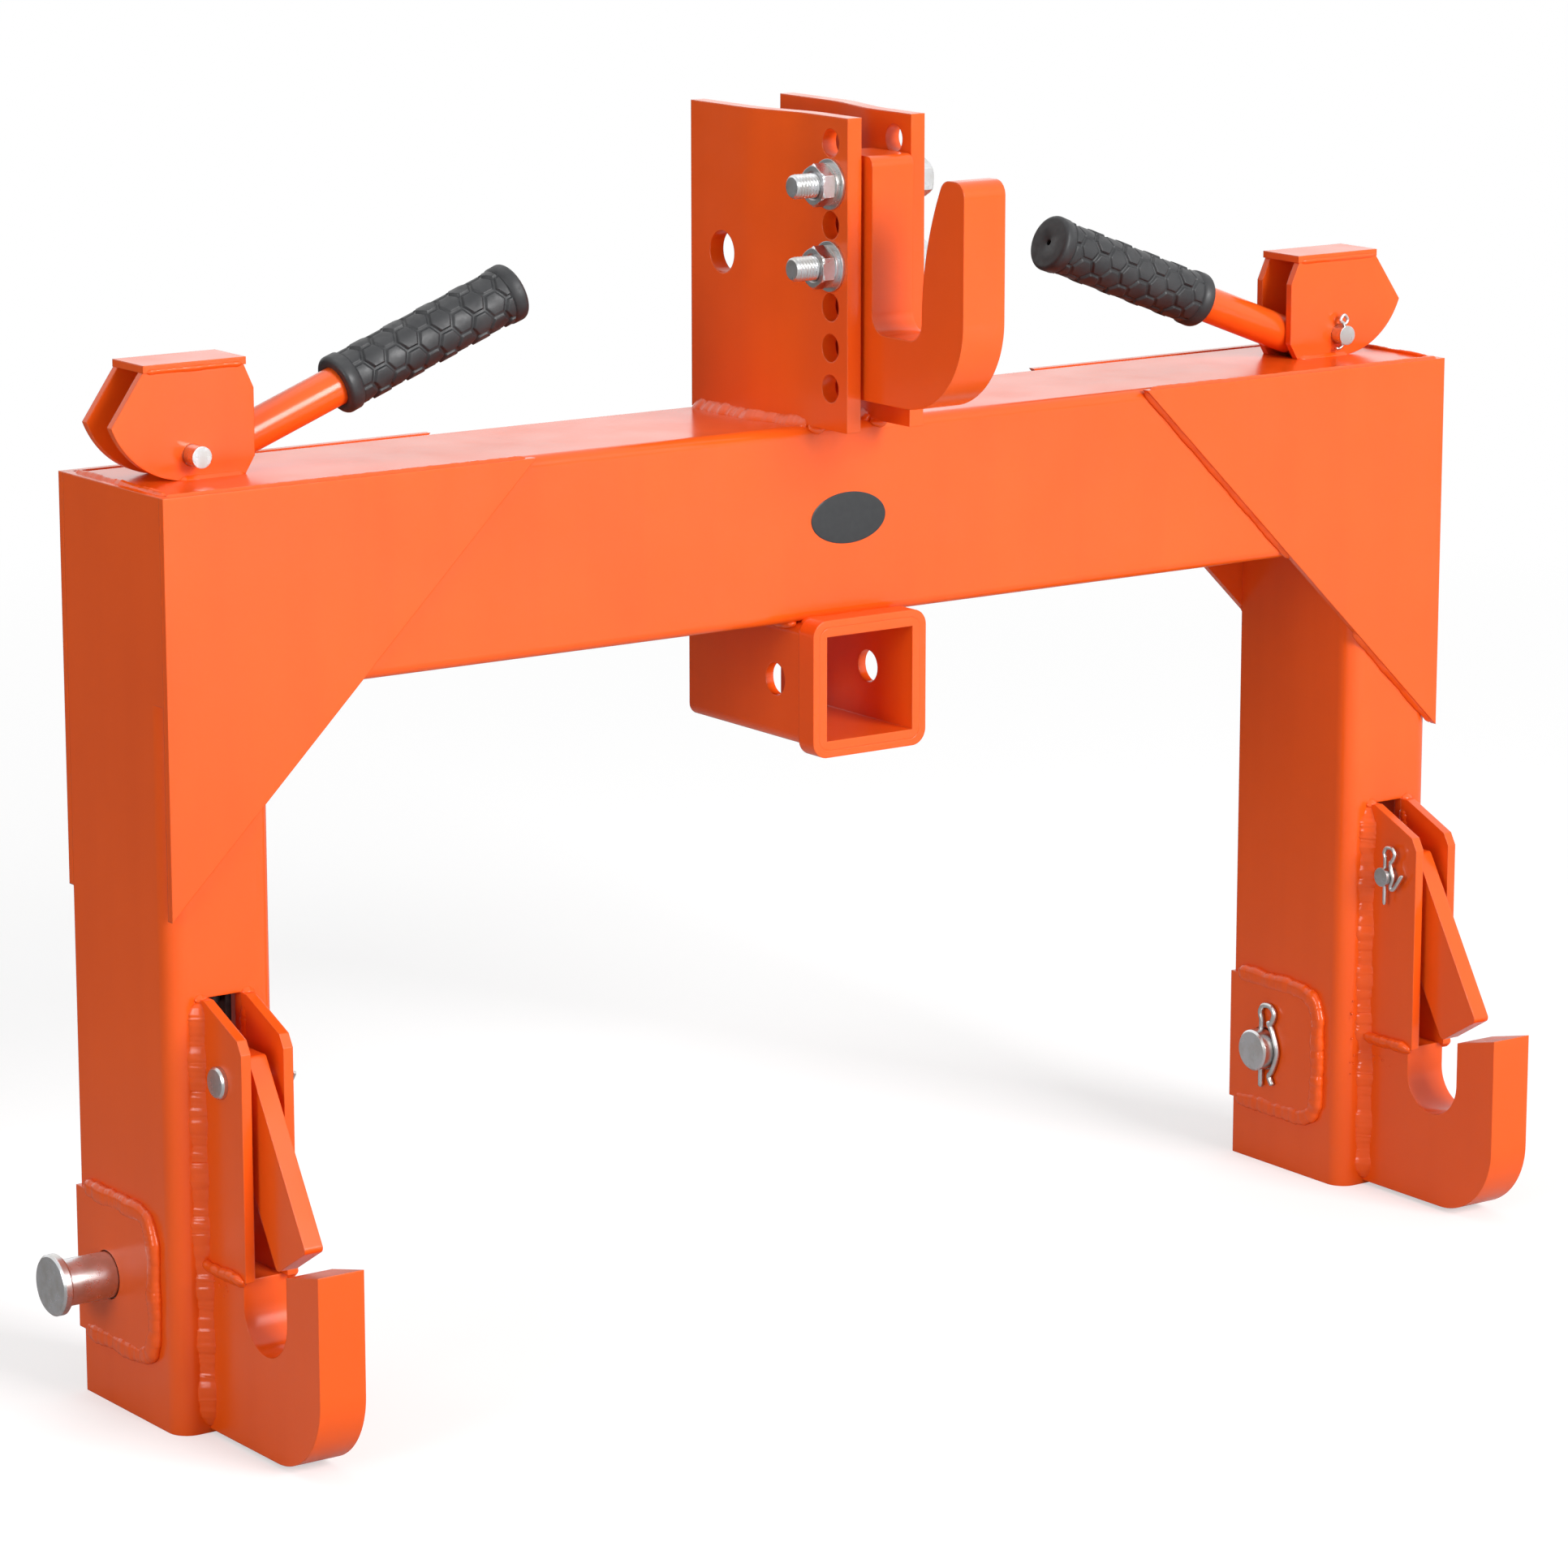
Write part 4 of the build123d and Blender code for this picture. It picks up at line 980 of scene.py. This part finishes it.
FINISHES = {"orange_paint": PAINT, "zinc": ZINC, "black_rubber": RUBBER}
BARE_STEEL = ("latch_rod", "latch_strap", "strap_rivet")
for part in frame["record"]["subparts"]:
    node = frame["nodes"][part["node"]]
    bare = part["node"].startswith(BARE_STEEL)
    node.data.materials.clear()
    node.data.materials.append(STEEL if bare else FINISHES[part["material_slot"]])


# Floor, light and camera

FLOOR_REACH = 14.0
FLOOR_GREY = 0.6
FLOOR_GLOW = 0.5
GLOW_START = 0.9
GLOW_END = 2.2
# The floor's grey to all rays but the camera's: a painted shade, light along the bright way and dark at the
# back
BRIGHT_WAY = (0.45, -0.9, 0)
FRONT_GREY = 0.85
BACK_PAINTED_SHADE_GREY = 0.2


def studio_floor():
    """A pale floor that keeps the shadow and fades into white a stride away from the part. To all rays
    but the camera's it has a painted shade, darker from the front to the back, which the paint mirrors."""
    mesh = bpy.data.meshes.new("studio_floor")
    square = [(x * FLOOR_REACH, y * FLOOR_REACH, 0) for x, y in ((-1, -1), (1, -1), (1, 1), (-1, 1))]
    mesh.from_pydata(square, [], [(0, 1, 2, 3)])
    floor = bpy.data.objects.new("studio_floor", mesh)
    bpy.context.scene.collection.objects.link(floor)
    material, tree, shader = new_material("pale floor")
    place = add(tree, "ShaderNodeTexCoord")
    length = add(tree, "ShaderNodeVectorMath", operation="LENGTH")
    tree.links.new(place.outputs["Object"], length.inputs[0])
    away = ramp(tree, length.outputs["Value"], GLOW_START, GLOW_END, 0, 1)
    towards = add(tree, "ShaderNodeVectorMath", operation="DOT_PRODUCT")
    tree.links.new(place.outputs["Object"], towards.inputs[0])
    towards.inputs[1].default_value = BRIGHT_WAY
    # Painted shade on the floor: darker towards the back for mirrored and bounced rays
    painted_falloff_grey = ramp(tree, towards.outputs["Value"], -1, 1, BACK_PAINTED_SHADE_GREY, FRONT_GREY)
    seen_grey = ramp(tree, away, 0, 1, FLOOR_GREY, 0)
    seen = add(tree, "ShaderNodeLightPath")
    grey = add(tree, "ShaderNodeMix")
    tree.links.new(seen.outputs["Is Camera Ray"], grey.inputs[0])
    tree.links.new(painted_falloff_grey, grey.inputs[2])
    tree.links.new(seen_grey, grey.inputs[3])
    tree.links.new(grey.outputs[0], shader.inputs["Base Color"])
    shader.inputs["Roughness"].default_value = 1.0
    shader.inputs["Specular IOR Level"].default_value = 0.0
    shader.inputs["Emission Color"].default_value = (1, 1, 1, 1)
    glow = add(tree, "ShaderNodeMath", operation="MULTIPLY")
    tree.links.new(ramp(tree, away, 0, 1, FLOOR_GLOW, 1), glow.inputs[0])
    tree.links.new(seen.outputs["Is Camera Ray"], glow.inputs[1])
    tree.links.new(glow.outputs["Value"], shader.inputs["Emission Strength"])
    mesh.materials.append(material)


LIGHT_SIDE = (0.75, 0.25, 0.61)
SIDE_SPAN = (-0.8, 0.35)
DARK_SIDE = 0.12
LIT_SIDE = 0.5
MIRROR_LIFT = 2.6


def white_world():
    """A white world: full white to the camera. As light it falls off towards the photo's left, and
    mirrored it is brighter than as light, so that metal and glossy paint show it."""
    world = bpy.data.worlds.new("white world")
    bpy.context.scene.world = world
    world.use_nodes = True
    tree = world.node_tree
    back = tree.nodes["Background"]
    back.inputs["Color"].default_value = (1, 1, 1, 1)
    rays = add(tree, "ShaderNodeLightPath")
    heading = add(tree, "ShaderNodeTexCoord")
    across = add(tree, "ShaderNodeVectorMath", operation="DOT_PRODUCT")
    tree.links.new(heading.outputs["Generated"], across.inputs[0])
    across.inputs[1].default_value = LIGHT_SIDE
    side_light = ramp(tree, across.outputs["Value"], *SIDE_SPAN, DARK_SIDE, LIT_SIDE)
    lift = ramp(tree, rays.outputs["Is Glossy Ray"], 0, 1, 1, MIRROR_LIFT)
    lifted = add(tree, "ShaderNodeMath", operation="MULTIPLY")
    tree.links.new(side_light, lifted.inputs[0])
    tree.links.new(lift, lifted.inputs[1])
    seen = add(tree, "ShaderNodeMath", operation="MAXIMUM")
    tree.links.new(rays.outputs["Is Camera Ray"], seen.inputs[0])
    tree.links.new(rays.outputs["Is Transmission Ray"], seen.inputs[1])
    lit = add(tree, "ShaderNodeMath", operation="MAXIMUM")
    tree.links.new(seen.outputs["Value"], lit.inputs[0])
    tree.links.new(lifted.outputs["Value"], lit.inputs[1])
    tree.links.new(lit.outputs["Value"], back.inputs["Strength"])


def soft_lamp(name, place, target, size, power):
    """A square soft light aimed at a point."""
    data = bpy.data.lights.new(name, "AREA")
    data.size = size
    data.energy = power
    lamp = bpy.data.objects.new(name, data)
    bpy.context.scene.collection.objects.link(lamp)
    lamp.location = place
    lamp.rotation_euler = (Vector(target) - Vector(place)).to_track_quat("-Z", "Y").to_euler()


LAMP_TARGET = (0, 0, 0.3)
LAMPS = {
    "key_light": ((0.9, -4.3, 2.3), 2.0, 225),
    "top_light": ((-0.4, 0.9, 3.6), 2.2, 12),
    "left_light": ((-3.8, -1.2, 1.4), 1.6, 52),
}

CAMERA_PLACE = (-1.6158, -2.2050, 0.8603)
CAMERA_AZIMUTH = math.radians(-35.5)
CAMERA_ELEVATION = math.radians(12.375)
SENSOR_WIDTH = 36
PHOTO_SIDE = 1932
FOCAL_PIXELS = 7108


def photo_camera():
    """The photograph's camera: its back points along (sin a cos e, -cos a cos e, sin e)."""
    data = bpy.data.cameras.new("photo_camera")
    data.sensor_fit = "HORIZONTAL"
    data.sensor_width = SENSOR_WIDTH
    data.lens = SENSOR_WIDTH * FOCAL_PIXELS / PHOTO_SIDE
    camera = bpy.data.objects.new("photo_camera", data)
    bpy.context.scene.collection.objects.link(camera)
    a, e = CAMERA_AZIMUTH, CAMERA_ELEVATION
    back = Vector((math.sin(a) * math.cos(e), -math.cos(a) * math.cos(e), math.sin(e)))
    level = Vector((math.cos(a), math.sin(a), 0))
    axes = Matrix((level, back.cross(level), back)).transposed()
    camera.matrix_world = Matrix.Translation(CAMERA_PLACE) @ axes.to_4x4()
    bpy.context.scene.camera = camera


studio_floor()
white_world()
for lamp_name, (place, size, power) in LAMPS.items():
    soft_lamp(lamp_name, place, LAMP_TARGET, size, power)
photo_camera()
bpy.context.scene.view_settings.view_transform = "Standard"
